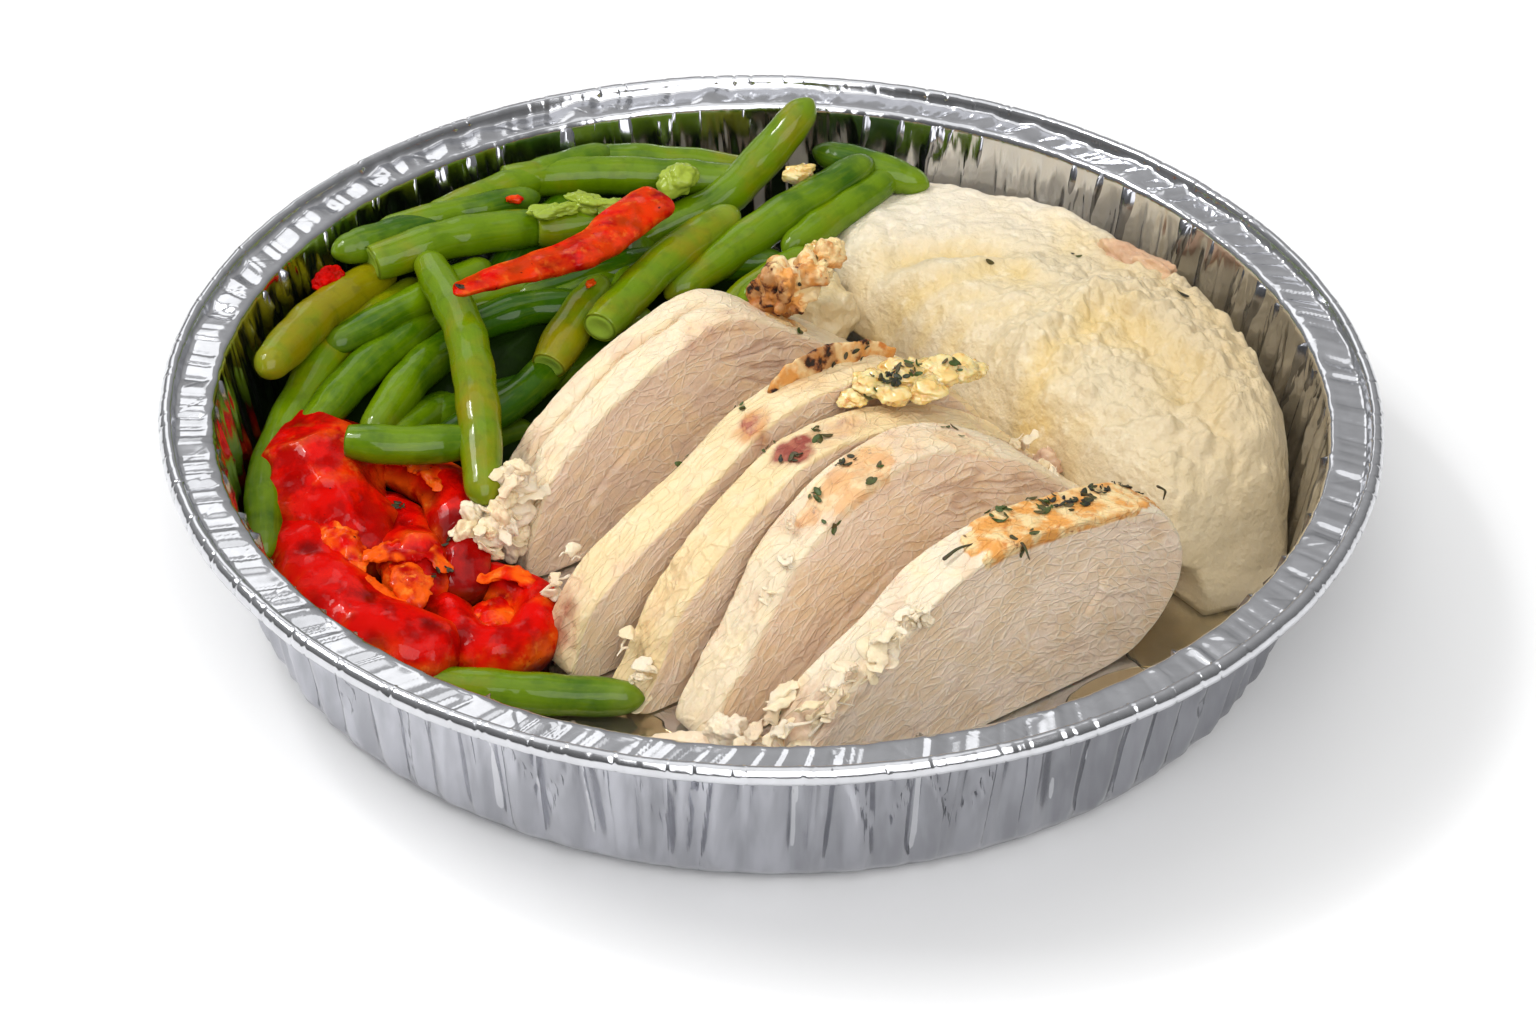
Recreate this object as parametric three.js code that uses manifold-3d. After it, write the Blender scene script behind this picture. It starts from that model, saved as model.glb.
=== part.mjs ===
// A round foil tray meal: sliced roast chicken breast, green beans, roasted
// red peppers and mashed potato in a crimped aluminium foil tray.
// Millimetres, +Z up. The origin is the centre of the tray's underside.
// +X is the right of the meal and +Y its far side, where the beans lie.

import * as THREE from 'three';
import { mergeVertices } from 'three/addons/utils/BufferGeometryUtils.js';
import Module from 'manifold-3d';

const wasm = await Module();
wasm.setup();

// ---- driving dimensions ----------------------------------------------------

const RIM_RADIUS = 114.5; // a nine inch round pan, measured over its bead
const TRAY_HEIGHT = 39;
const FOIL = 0.7; // wall as modelled; the folded foil itself is thinner
const BASE_RADIUS = 100.5;
const BASE_CORNER = 8;
const LIP_RADIUS = 104.3;
const FLANGE_WIDTH = 7;
const BEAD_RADIUS = 1.6;
const PLEATS = 50;
const PLEAT_DEPTH = 0.45;
const LIP_RISE = 2.2; // the rounded lip between wall and flange: how high
const LIP_RUN = 1.6; // and how wide it is
const FLANGE_FALL = 0.4; // how far the flange sinks towards the bead
const GAP = 0.35; // air left between pieces that touch
const CLEARANCE = 1.6 * GAP; // how far a piece stays off the ones that are in before it
const HEADROOM = 60; // food is kept under this height

const SLICE_TURN = THREE.MathUtils.degToRad(38); // long way of the slices
const SLICE_EDGE = 1.2; // rounding of a slice's cut edges
const SLICE_CORNERS = 24; // corners round a slice's outline
const SLICE_HEART = new THREE.Vector3(0, 17, 0); // the middle of a slice, along and up
const BEAN_RADIUS = 4;
const BEAN_SIDES = 6;
const END_WIDTH = 0.35; // a rounded end's width, as a share of the strand's
const END_FLARE = 5; // how fast it widens to the full width

const FLOOR = FOIL + GAP; // the lowest level of the food

const COLOURS = {
  foil: { color: 0xc9cbd0, roughness: 0.3, metalness: 1 },
  chicken: { color: 0xdcc6a6, roughness: 0.55, metalness: 0 },
  browned: { color: 0xb9762f, roughness: 0.5, metalness: 0 },
  mash: { color: 0xeddcb0, roughness: 0.6, metalness: 0 },
  bean: { color: 0x6b8a17, roughness: 0.35, metalness: 0 },
  pepper: { color: 0xc81408, roughness: 0.25, metalness: 0 },
  onion: { color: 0xd9b765, roughness: 0.4, metalness: 0 },
};

// ---- helpers ---------------------------------------------------------------

const vec = (x, y, z) => new THREE.Vector3(x, y, z);

const ALONG_SLICES = vec(Math.cos(SLICE_TURN), Math.sin(SLICE_TURN), 0);
const ACROSS_SLICES = vec(Math.sin(SLICE_TURN), -Math.cos(SLICE_TURN), 0); // the way their faces look

// A smooth, repeatable unevenness between -1 and 1 at a place in the meal.
function uneven(point, seed) {
  const sideways = Math.sin(0.31 * point.x + 1.7 * seed);
  const upwards = Math.sin(0.27 * point.y + 0.4 * point.z + 2.3 * seed);
  const slanted = Math.sin(0.19 * (point.x - point.y) + 0.9 * seed);
  return (sideways + upwards + slanted) / 3;
}

function displaced(geometry, move) {
  const place = geometry.attributes.position;
  const point = new THREE.Vector3();
  for (let i = 0; i < place.count; i++) {
    point.fromBufferAttribute(place, i);
    move(point);
    place.setXYZ(i, point.x, point.y, point.z);
  }
  return geometry;
}

// The same body with shared corners and without the flat faces left at an axis.
function welded(geometry) {
  const bare = geometry.clone();
  bare.deleteAttribute('normal');
  bare.deleteAttribute('uv');
  const shared = mergeVertices(bare, 1e-4);
  const corners = shared.index.array;
  const faces = [];
  for (let i = 0; i < corners.length; i += 3) {
    const [a, b, c] = corners.slice(i, i + 3);
    if (a !== b && b !== c && c !== a) faces.push(a, b, c);
  }
  shared.setIndex(faces);
  return shared;
}

// Closed rings of points, one after the other, with a fan over each end.
function skin(rings) {
  const sides = rings[0].length;
  const points = rings.flat();
  const faces = [];
  for (let r = 0; r + 1 < rings.length; r++) {
    for (let s = 0; s < sides; s++) {
      const a = r * sides + s;
      const b = r * sides + ((s + 1) % sides);
      faces.push(a, b, b + sides, a, b + sides, a + sides);
    }
  }
  for (const end of [0, rings.length - 1]) {
    const hub = new THREE.Vector3();
    rings[end].forEach((point) => hub.addScaledVector(point, 1 / sides));
    points.push(hub);
    for (let s = 0; s < sides; s++) {
      const a = end * sides + s;
      const b = end * sides + ((s + 1) % sides);
      faces.push(...(end === 0 ? [b, a] : [a, b]), points.length - 1);
    }
  }
  const geometry = new THREE.BufferGeometry().setFromPoints(points);
  geometry.setIndex(faces);
  return geometry;
}

// A swept body with an oval section: width across, thickness up, ends rounded,
// the first one less so where it is cut.
function strand({ path, width, thickness = width, sides = BEAN_SIDES, steps = 5, cut = 0, seed = 0 }) {
  const curve = new THREE.CatmullRomCurve3(path.map((p) => vec(...p)));
  const rings = [];
  for (let i = 0; i <= steps; i++) {
    const t = i / steps;
    const centre = curve.getPointAt(t);
    const along = curve.getTangentAt(t);
    const across = vec(0, 0, 1).cross(along).normalize();
    const up = along.clone().cross(across);
    const rounded = Math.min(1, END_WIDTH + END_FLARE * Math.min(t, 1 - t));
    const end = t < 0.5 ? Math.max(cut, rounded) : rounded;
    const swell = end * (1 + 0.06 * Math.sin(9 * t + seed));
    const ring = [];
    for (let s = 0; s < sides; s++) {
      const turn = (2 * Math.PI * s) / sides;
      const point = centre.clone();
      point.addScaledVector(across, 0.5 * width * swell * Math.cos(turn));
      point.addScaledVector(up, 0.5 * thickness * swell * Math.sin(turn));
      ring.push(point);
    }
    rings.push(ring);
  }
  return skin(rings);
}

// An uneven rounded lump.
function lump({ at, size, turn = 0, seed = 1, rough = 0.16, detail = 1 }) {
  const ball = welded(new THREE.IcosahedronGeometry(1, detail));
  displaced(ball, (point) => {
    const around = Math.sin(3.1 * point.x + seed) * Math.cos(2.7 * point.y - seed);
    const upwards = Math.sin(4.3 * point.z + 2 * seed);
    point.multiplyScalar(1 + rough * (around + upwards));
    point.multiply(vec(...size));
  });
  ball.rotateZ(turn);
  ball.translate(...at);
  return ball;
}

// A slab cut from a loaf: its outline stands upright along the slice's long way.
function slab({ face, thickness, outline, lean = 0, crack = 0, seed = 1 }) {
  const rim = new THREE.CatmullRomCurve3(outline.map(([along, up]) => vec(along, up, 0)), true);
  const corners = rim.getSpacedPoints(SLICE_CORNERS).slice(0, -1);
  const levels = [
    { depth: 0, inset: SLICE_EDGE },
    { depth: 0.12 * thickness, inset: 0.2 },
    { depth: 0.5 * thickness, inset: -0.3 },
    { depth: 0.88 * thickness, inset: 0.2 },
    { depth: thickness, inset: SLICE_EDGE },
  ];
  if (crack > 0) {
    const groove = { depth: 0.58 * thickness, inset: crack };
    levels.splice(3, 0, groove, { depth: 0.66 * thickness, inset: 0 });
  }
  const rings = levels.map(({ depth, inset }) => corners.map((corner) => {
    const inward = SLICE_HEART.clone().sub(corner).setLength(inset + 0.5 * uneven(corner, seed + depth));
    const point = corner.clone().add(inward);
    const up = Math.max(0, point.y);
    const place = ALONG_SLICES.clone().multiplyScalar(point.x);
    place.addScaledVector(ACROSS_SLICES, face - depth - lean * up);
    place.z = FLOOR + up;
    return place;
  }));
  return skin(rings);
}

function toManifold(geometry) {
  const closed = welded(geometry);
  const vertProperties = new Float32Array(closed.attributes.position.array);
  const triVerts = new Uint32Array(closed.index.array);
  return new wasm.Manifold(new wasm.Mesh({ numProp: 3, vertProperties, triVerts }));
}

function toGeometry(solid) {
  const { vertProperties, triVerts } = solid.getMesh();
  const geometry = new THREE.BufferGeometry();
  geometry.setAttribute('position', new THREE.BufferAttribute(new Float32Array(vertProperties), 3));
  geometry.setIndex(new THREE.BufferAttribute(new Uint32Array(triVerts), 1));
  return geometry;
}

// The same body with its skin moved outward, so that what it cuts keeps clear.
function grown(geometry) {
  const body = welded(geometry);
  body.computeVertexNormals();
  const normal = new THREE.Vector3();
  let index = 0;
  return displaced(body, (point) => {
    normal.fromBufferAttribute(body.attributes.normal, index);
    point.addScaledVector(normal, CLEARANCE);
    index += 1;
  });
}

// Of a body that a cut has left in scraps, the largest piece.
function largest(solid) {
  return solid.decompose().reduce((best, piece) => (piece.volume() > best.volume() ? piece : best));
}

function fused(geometries) {
  return geometries.map(toManifold).reduce((whole, piece) => whole.add(piece));
}

// ---- the foil tray ---------------------------------------------------------

function arc(centreX, centreY, radius, from, to, count) {
  const points = [];
  for (let i = 0; i <= count; i++) {
    const turn = THREE.MathUtils.degToRad(from + ((to - from) * i) / count);
    points.push(new THREE.Vector2(centreX + radius * Math.cos(turn), centreY + radius * Math.sin(turn)));
  }
  return points;
}

const FLANGE_TOP = TRAY_HEIGHT - 2; // the bead stands above the flat of the flange
const BEAD_CENTRE = new THREE.Vector2(RIM_RADIUS - BEAD_RADIUS, TRAY_HEIGHT - BEAD_RADIUS);

function trayProfile() {
  const inner = BASE_CORNER - FOIL;
  const flat = BASE_RADIUS - BASE_CORNER;
  const flangeEnd = LIP_RADIUS + FLANGE_WIDTH;
  return [
    new THREE.Vector2(0, 0),
    ...arc(flat, BASE_CORNER, BASE_CORNER, -90, 0, 3),
    new THREE.Vector2(LIP_RADIUS + FOIL - 0.2, FLANGE_TOP - LIP_RISE),
    new THREE.Vector2(LIP_RADIUS + LIP_RUN, FLANGE_TOP - FOIL),
    new THREE.Vector2(flangeEnd - 0.6, FLANGE_TOP - FOIL - FLANGE_FALL),
    ...arc(BEAD_CENTRE.x, BEAD_CENTRE.y, BEAD_RADIUS, -120, 90, 4),
    new THREE.Vector2(flangeEnd + 0.7, TRAY_HEIGHT - 0.6),
    new THREE.Vector2(flangeEnd, FLANGE_TOP - FLANGE_FALL),
    new THREE.Vector2(LIP_RADIUS + LIP_RUN, FLANGE_TOP),
    new THREE.Vector2(LIP_RADIUS + 0.3, FLANGE_TOP - 0.5),
    new THREE.Vector2(LIP_RADIUS - 0.2, FLANGE_TOP - LIP_RISE),
    ...arc(flat, BASE_CORNER, inner, 0, -90, 2),
    new THREE.Vector2(0, FOIL),
  ];
}

// How far the pleats run at a height: none on the floor, most up the wall.
function pleatDepth(height) {
  const climb = THREE.MathUtils.clamp((height - 3) / 12, 0, 1);
  return PLEAT_DEPTH * climb;
}

function trayGeometry() {
  const body = welded(new THREE.LatheGeometry(trayProfile(), 2 * PLEATS).rotateX(Math.PI / 2));
  return displaced(body, (point) => {
    const radius = Math.hypot(point.x, point.y);
    if (radius < BASE_RADIUS - BASE_CORNER + 1 || radius > LIP_RADIUS + 2) return;
    const fold = Math.cos(PLEATS * Math.atan2(point.y, point.x));
    const scale = 1 + (fold * pleatDepth(point.z)) / radius;
    point.x *= scale;
    point.y *= scale;
  });
}

// The room inside the tray, clear of its pleats.
function roomInTray() {
  const clear = PLEAT_DEPTH + FOIL + GAP;
  const flat = BASE_RADIUS - BASE_CORNER;
  const profile = [
    new THREE.Vector2(0, FLOOR - 0.05),
    ...arc(flat, BASE_CORNER, BASE_CORNER - clear, -90, 0, 2),
    new THREE.Vector2(LIP_RADIUS - clear, FLANGE_TOP - 2),
    new THREE.Vector2(LIP_RADIUS - clear, HEADROOM),
    new THREE.Vector2(0, HEADROOM),
  ];
  return toManifold(new THREE.LatheGeometry(profile, PLEATS).rotateX(Math.PI / 2));
}

// ---- chicken ---------------------------------------------------------------

// Each slice: how far its face stands out across the stack, its thickness, and
// its outline as [along the slice, up from the floor].
const SLICES = [
  {
    name: 'chicken_slice_1', face: -16.5, thickness: 13, lean: 0.18, crack: 3,
    outline: [[-42, 0], [-44, 6], [-41, 13], [-36, 19.5], [-28, 25], [-18, 30], [-7, 34], [3, 36.5],
      [11, 35.5], [19, 30.5], [30, 23], [42, 14], [48, 5], [44, 0], [20, 0], [-15, 0]],
  },
  {
    name: 'chicken_slice_2', face: 14.5, thickness: 9.5, lean: 0.05,
    outline: [[-53, 0], [-55, 8], [-50, 17], [-39, 24], [-24, 31], [-12, 38], [2, 41], [14, 40],
      [25, 36], [37, 25], [46, 10], [44, 0], [20, 0], [-20, 0]],
  },
  {
    name: 'chicken_slice_3', face: 29, thickness: 9.5, lean: 0.1,
    outline: [[-50, 0], [-48, 7], [-42, 17], [-31, 27], [-20, 34], [-10, 38], [3, 38], [16, 35],
      [28, 30], [40, 21], [48, 10], [46, 0], [20, 0], [-20, 0]],
  },
  {
    name: 'chicken_slice_4', face: 44, thickness: 10.5, lean: 0.18,
    outline: [[-46, 0], [-42, 9], [-35, 16], [-26, 27], [-15, 34], [-4, 38], [9, 39], [20, 35],
      [30, 29], [40, 20], [49, 11], [47, 2], [38, 0], [10, 0], [-20, 0]],
  },
  {
    name: 'chicken_slice_5', face: 68, thickness: 10.5,
    outline: [[-45, 0], [-45, 11], [-37, 22], [-24, 29], [-14, 36], [0, 39], [18, 37], [35, 33],
      [43, 24], [44, 13], [38, 4], [28, 0], [0, 0], [-25, 0]],
  },
];

// The torn tuft at the left end of the back slice.
const SHREDS = [
  { at: [-50, -13, 17], size: [5, 4.5, 4.5], seed: 2 },
  { at: [-52, -19, 15], size: [3.6, 3.2, 3.6], seed: 5 },
  { at: [-48, -10, 22], size: [3.6, 3.6, 3.2], seed: 9 },
  { at: [-49, -14, 10], size: [3.6, 3.6, 4.4], seed: 12 },
];

// ---- beans -----------------------------------------------------------------

// The beans that lie on top of the heap, each by the line through its middle.
const BEANS = [
  { path: [[-96, 16, 30], [-89, 34, 29], [-79, 51, 27]] },
  { path: [[-94.5, -20, 14], [-95.5, 0, 17], [-87, 29, 23.5], [-73, 49, 24.5]] },
  { path: [[-88, 10, 20], [-79, 27, 22], [-66, 45, 23]] },
  { path: [[-76, 13, 18], [-70, 27, 20], [-62, 40, 20]] },
  { path: [[-68, 47, 32], [-60, 26, 31], [-56, 5, 28], [-54, -12, 22]], width: 8.4 },
  { path: [[-80, 48, 32], [-65, 56, 33], [-46, 65, 31]], width: 9, cut: 1 },
  { path: [[-84, 52, 33], [-69, 62, 32]] },
  { path: [[-76, 60, 33], [-52, 71, 33]], width: 7 },
  { path: [[-67, 66, 33], [-52, 78, 33], [-38, 88, 33]] },
  { path: [[-56, 78, 33], [-37, 83, 32], [-10, 84, 31]], cut: 1, width: 8.6 },
  { path: [[-36, 90, 32], [-9, 90, 30]] },
  { path: [[4, 94, 40], [-3, 87, 34], [-12, 78, 29], [-26, 70, 26]], cut: 0.8, width: 8.6 },
  { path: [[-34, 31, 29], [-23, 52, 30], [-11, 68, 31]], width: 8.6 },
  { path: [[16, 85, 33], [-1, 69, 30], [-18, 52, 26]], width: 8.6, cut: 0.9 },
  { path: [[22, 86, 30], [5, 66, 28]] },
  { path: [[-44, 28, 22], [-36, 46, 27]], width: 8.6, cut: 1 },
  { path: [[-80, -3, 25], [-70, -4, 25], [-57, -1, 24]], cut: 1 },
  { path: [[-67, 20, 14], [-48, 30, 15]] },
  { path: [[-43, 35, 15], [-26, 50, 16]] },
  { path: [[-48, 62, 32], [-31, 65, 32]], width: 9, cut: 1 },
  { path: [[-48, 75, 34], [-35, 73, 35]], width: 8, cut: 0.8 },
  { path: [[-24, 77, 34], [-17, 77, 35]], width: 7.4, cut: 0.9 },
  { path: [[-3, 41, 32], [8, 47, 34]], width: 7 },
  { path: [[4, 59, 27], [-8, 48, 24]], width: 7.6 },
  { path: [[12, 92, 32], [27, 87, 30]] },
  { path: [[-25, 85, 32], [-17, 83, 31]], width: 7.4 },
  { path: [[-48, 50, 24], [-26, 59, 25.5], [-2, 62, 25]] },
  { path: [[-62, 38, 23], [-46, 46, 24], [-28, 44, 23]] },
  { path: [[-64, 8, 17], [-50, 22, 18], [-40, 40, 19]], width: 7.6 },
  { path: [[-84, 30, 26], [-60, 52, 28]], width: 7.4 },
];

const HEAP_CENTRE = vec(-42, 50, 0);
const HEAP_BACK = -34; // how far across the stack of slices the heap ends
const HEAP_HEIGHT = 29;
const HEAP_FOOT = 12; // its height beside the slices and the peppers
const HEAP_SPREAD = 85; // how far it runs from its centre at most

const FRONT_BEAN = { path: [[-61, -51, 5.2], [-43, -53.5, 5.4], [-27, -54, 5.2]], width: 8.2, cut: 0.7 };

// ---- peppers ---------------------------------------------------------------

const PEPPER_STRIP = {
  path: [[-60, 29, 38.5], [-55, 34, 37.5], [-44, 41, 37], [-36, 47, 37], [-29, 58, 37], [-24, 63, 38]],
  width: 9, thickness: 4.6, sides: 8, steps: 9,
};

// Pieces of roasted pepper, folded over one another against the near left wall.
const PEPPER_PIECES = [
  { path: [[-88, 13, 12], [-87.5, 2, 14.5], [-83, -10, 11.5], [-78, -19, 8.5]], width: 24, thickness: 19 },
  { path: [[-89, -12, 9], [-84, -29, 9], [-74, -41, 8], [-61, -46, 8]], width: 17, thickness: 16 },
  { path: [[-73, 2, 15], [-63, -4, 15], [-58, -16, 13], [-57, -28, 9]], width: 11, thickness: 9 },
  { path: [[-74, -5, 9], [-69, -16, 10.5], [-64, -29, 10]], width: 13, thickness: 12 },
  {
    path: [[-60, -32, 6], [-54, -43, 6.5], [-45, -42, 6.5], [-43, -31, 7], [-52, -24, 7]],
    width: 10.5, thickness: 12,
  },
];

// ---- mash ------------------------------------------------------------------

const MASH_CENTRE = vec(62, 42, 0);
const MASH_BORDER = 46; // how far along the slices the mash begins
const MASH_CREST = 31;
const MASH_SPREAD = 64; // how far the mound runs from its centre at most
const MASH_FOOT = 24; // the height of its edge against the wall
const NEAR_SLUMP = 22; // how much lower that edge is at the near end
const SIDE_SLUMP = 10; // and on the slices' side
const CREST_SLUMP = 4; // how much lower the crest is at the near end

// From a place inside the tray, the distance to the wall in one direction.
function toWall(centre, towards) {
  const wall = BASE_RADIUS - 1;
  const mid = centre.dot(towards);
  return -mid + Math.sqrt(mid * mid - centre.lengthSq() + wall * wall);
}

// And the distance to a straight border that lies `limit` out along `axis`.
function toBorder(centre, towards, axis, limit) {
  const speed = towards.dot(axis);
  return speed > 0.05 ? (limit - centre.dot(axis)) / speed : Infinity;
}

// A closed mound over an outline: `reach` gives the outline, `top` its height.
function mound({ centre, reach, top, segments, levels }) {
  const rings = levels.map((level, k) => {
    const ring = [];
    for (let s = 0; s < segments; s++) {
      const turn = (2 * Math.PI * s) / segments;
      const towards = vec(Math.cos(turn), Math.sin(turn), 0);
      const point = towards.clone().multiplyScalar(level * reach(towards)).add(centre);
      point.z = k === 0 ? FLOOR : top(point, level);
      ring.push(point);
    }
    return ring;
  });
  return skin(rings);
}

// The mash banks up against the wall at its far end and slumps at its near one.
function mashTop(point, level) {
  const near = THREE.MathUtils.smoothstep(ACROSS_SLICES.dot(point), 50, 76);
  const slicesSide = 1 - THREE.MathUtils.smoothstep(ALONG_SLICES.dot(point), MASH_BORDER, MASH_BORDER + 14);
  const foot = MASH_FOOT - Math.max(NEAR_SLUMP * near, SIDE_SLUMP * slicesSide);
  const rise = Math.pow(1 - Math.pow(level, 3), 0.6);
  return foot + (MASH_CREST - CREST_SLUMP * near - foot) * rise + 1.3 * uneven(point, 2);
}

function mashGeometry() {
  const axis = ALONG_SLICES.clone().negate();
  return mound({
    centre: MASH_CENTRE,
    reach: (towards) => Math.min(
      MASH_SPREAD,
      toWall(MASH_CENTRE, towards),
      toBorder(MASH_CENTRE, towards, axis, -MASH_BORDER),
    ),
    top: mashTop,
    segments: 36,
    levels: [1, 0.99, 0.93, 0.82, 0.66, 0.5, 0.34, 0.18],
  });
}

function heapTop(point, level) {
  const fromSlices = THREE.MathUtils.smoothstep(-ACROSS_SLICES.dot(point), -HEAP_BACK + 8, -HEAP_BACK + 36);
  const fromPeppers = THREE.MathUtils.smoothstep(point.y, -10, 62);
  const height = HEAP_FOOT + (HEAP_HEIGHT - HEAP_FOOT) * Math.min(fromSlices, fromPeppers);
  return height * Math.pow(1 - Math.pow(level, 8), 0.25) + FLOOR;
}

function heapCore() {
  return mound({
    centre: HEAP_CENTRE,
    reach: (towards) => Math.min(
      toWall(HEAP_CENTRE, towards) - 2,
      toBorder(HEAP_CENTRE, towards, ACROSS_SLICES, HEAP_BACK),
      toBorder(HEAP_CENTRE, towards, ALONG_SLICES, MASH_BORDER - 4),
      HEAP_SPREAD,
    ),
    top: heapTop,
    segments: 26,
    levels: [0.98, 0.97, 0.8, 0.55, 0.3],
  });
}

// ---- the small pieces ------------------------------------------------------

const MORSEL = { at: [6, 40, 34.5], size: [9, 6, 6.5], turn: 0.6, seed: 4, rough: 0.2 };
const HERB_LUMP = { at: [25, 2, 39.5], size: [13, 5, 4], turn: 0.3, seed: 6, rough: 0.18 };
const BACK_MORSEL = { at: [73, 57.5, 28.5], size: [10.5, 3.4, 4.4], turn: -0.6, seed: 7, rough: 0.15 };
const PEPPER_BIT = { at: [-88, 42, 32], size: [4, 2.2, 2], turn: 0.9, seed: 3 };
const SCRAP = { at: [-12, -66, 3.4], size: [12, 4.5, 2.2], turn: -0.05, seed: 5 };
const CRUMB = { at: [-7, -66, 8], size: [4.2, 3.6, 3], seed: 8, rough: 0.2 };

// ---- the meal --------------------------------------------------------------

const meal = new THREE.Group();
const room = roomInTray();
const placed = [];

function addMesh(name, geometry, look) {
  const faceted = geometry.index ? geometry.toNonIndexed() : geometry;
  faceted.computeVertexNormals();
  const mesh = new THREE.Mesh(faceted, new THREE.MeshStandardMaterial(COLOURS[look]));
  mesh.name = name;
  meal.add(mesh);
}

// Food goes in from the most solid piece to the loosest: each one is kept in
// the tray and clear of the pieces that are in it already.
function serve(name, geometries, look) {
  let solid = fused(geometries).intersect(room);
  for (const earlier of placed) {
    solid = solid.subtract(earlier);
  }
  addMesh(name, toGeometry(largest(solid)), look);
  geometries.forEach((geometry) => placed.push(toManifold(grown(geometry))));
}

addMesh('tray', trayGeometry(), 'foil');

for (const slice of SLICES) {
  const shreds = slice.name === 'chicken_slice_1' ? SHREDS.map(lump) : [];
  serve(slice.name, [slab(slice), ...shreds.flat()], 'chicken');
}
serve('mash', [mashGeometry()], 'mash');
PEPPER_PIECES.forEach((piece, i) => {
  serve(`pepper_piece_${i + 1}`, [strand({ ...piece, sides: 10, steps: 9, seed: i })], 'pepper');
});
serve('front_bean', [strand(FRONT_BEAN)], 'bean');
serve('pepper_strip', [strand(PEPPER_STRIP)], 'pepper');
serve('browned_morsel', [lump(MORSEL)], 'browned');
serve('onion_herb_lump', [lump(HERB_LUMP)], 'onion');
serve('back_morsel', [lump(BACK_MORSEL)], 'chicken');
serve('pepper_bit', [lump({ ...PEPPER_BIT, detail: 0 })], 'pepper');
serve('chicken_scrap', [lump(SCRAP)], 'chicken');
serve('chicken_crumb', [lump({ ...CRUMB, detail: 0 })], 'chicken');
const heap = BEANS.map((bean, i) => strand({ width: 2 * BEAN_RADIUS, ...bean, seed: i }));
serve('green_beans', [heapCore(), ...heap], 'bean');

export default meal;
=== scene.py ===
import math
from collections import namedtuple
from itertools import product

import bpy
import numpy as np
from mathutils import Matrix


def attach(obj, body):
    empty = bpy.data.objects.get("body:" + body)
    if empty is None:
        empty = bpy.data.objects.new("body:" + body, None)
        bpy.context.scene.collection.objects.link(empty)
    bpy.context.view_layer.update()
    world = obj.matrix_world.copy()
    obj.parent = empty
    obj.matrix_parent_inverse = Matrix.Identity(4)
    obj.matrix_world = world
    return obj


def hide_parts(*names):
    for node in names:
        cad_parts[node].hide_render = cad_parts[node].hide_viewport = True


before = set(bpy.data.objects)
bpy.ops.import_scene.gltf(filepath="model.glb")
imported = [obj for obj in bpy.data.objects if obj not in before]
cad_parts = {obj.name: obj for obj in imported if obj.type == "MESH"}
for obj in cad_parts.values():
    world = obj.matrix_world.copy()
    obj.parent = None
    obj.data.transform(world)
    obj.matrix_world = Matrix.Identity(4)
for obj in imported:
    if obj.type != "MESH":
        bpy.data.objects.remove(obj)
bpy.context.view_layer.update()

bl_info = {
    "name": "Foil tray meal",
    "version": (1, 0, 0),
    "blender": (4, 5, 0),
    "location": "View3D > Sidebar > Meal",
    "description": "Dresses the packed foil tray meal: crimped foil, chicken, beans, peppers and mash",
    "category": "Add Mesh",
}

MM = 0.001  # shapes are worked out in millimetres and stored in metres
TAU = 2 * math.pi

# ---- the meal's own layout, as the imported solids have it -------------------

FOIL = 0.7  # thickness of the foil
FOOD_GAP = 0.3  # between the wall and food that leans on it
FLOOR = FOIL + 0.35  # the level that the food stands on
FLANGE_TOP = 37
BASE_RADIUS = 100.5
BASE_CORNER = 8  # radius of the corner between floor and wall
LIP_RADIUS = 104.3  # where the wall turns out into the flange
FOOD_RADIUS = BASE_RADIUS - 1  # how far mash and heap reach
SLICE_TURN = math.radians(38)
ALONG = np.array([math.cos(SLICE_TURN), math.sin(SLICE_TURN), 0])  # the way the slices run
ACROSS = np.array([math.sin(SLICE_TURN), -math.cos(SLICE_TURN), 0])  # from slice to slice, to the front
UP = np.array([0.0, 0.0, 1.0])


# ---- settings ---------------------------------------------------------------


def number_prop(name, description, value, high, low=0.0, **units):
    """A plain number, or one with a unit."""
    limits = dict(default=value, min=low, max=high)
    return bpy.props.FloatProperty(name=name, description=description, **limits, **units)


def size_prop(name, description, value, high):
    """A length in metres."""
    return number_prop(name, description, value, high, subtype="DISTANCE", unit="LENGTH")


def angle_prop(name, description, degrees, high, low=0.0):
    """An angle, given in degrees."""
    turn = [math.radians(angle) for angle in (degrees, high, low)]
    return number_prop(name, description, *turn, subtype="ANGLE", unit="ROTATION")


def linear(red, green, blue):
    """A colour given as it looks on a screen, 0 to 255, in the linear light that shaders use."""
    share = np.array([red, green, blue]) / 255
    low, high = share / 12.92, ((share + 0.055) / 1.055) ** 2.4
    return tuple(float(x) for x in np.where(share <= 0.04045, low, high))


def colour_prop(name, description, *screen):
    """A surface colour."""
    return bpy.props.FloatVectorProperty(
        name=name, description=description, default=linear(*screen), min=0, max=1, size=3, subtype="COLOR"
    )


class MealTraySettings(bpy.types.PropertyGroup):
    """The foil tray."""

    pleat_depth: size_prop("Pleat depth", "How deep the folds of the wall are", 0.0008, 0.003)
    flange_crease: size_prop("Flange crease", "How high the wrinkles of the flange stand", 0.0007, 0.003)
    crimp_depth: size_prop("Crimp depth", "How deep the nicks in the bead are", 0.00035, 0.002)
    metal: colour_prop("Foil", "Colour of the bare aluminium", 214, 215, 219)


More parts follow.
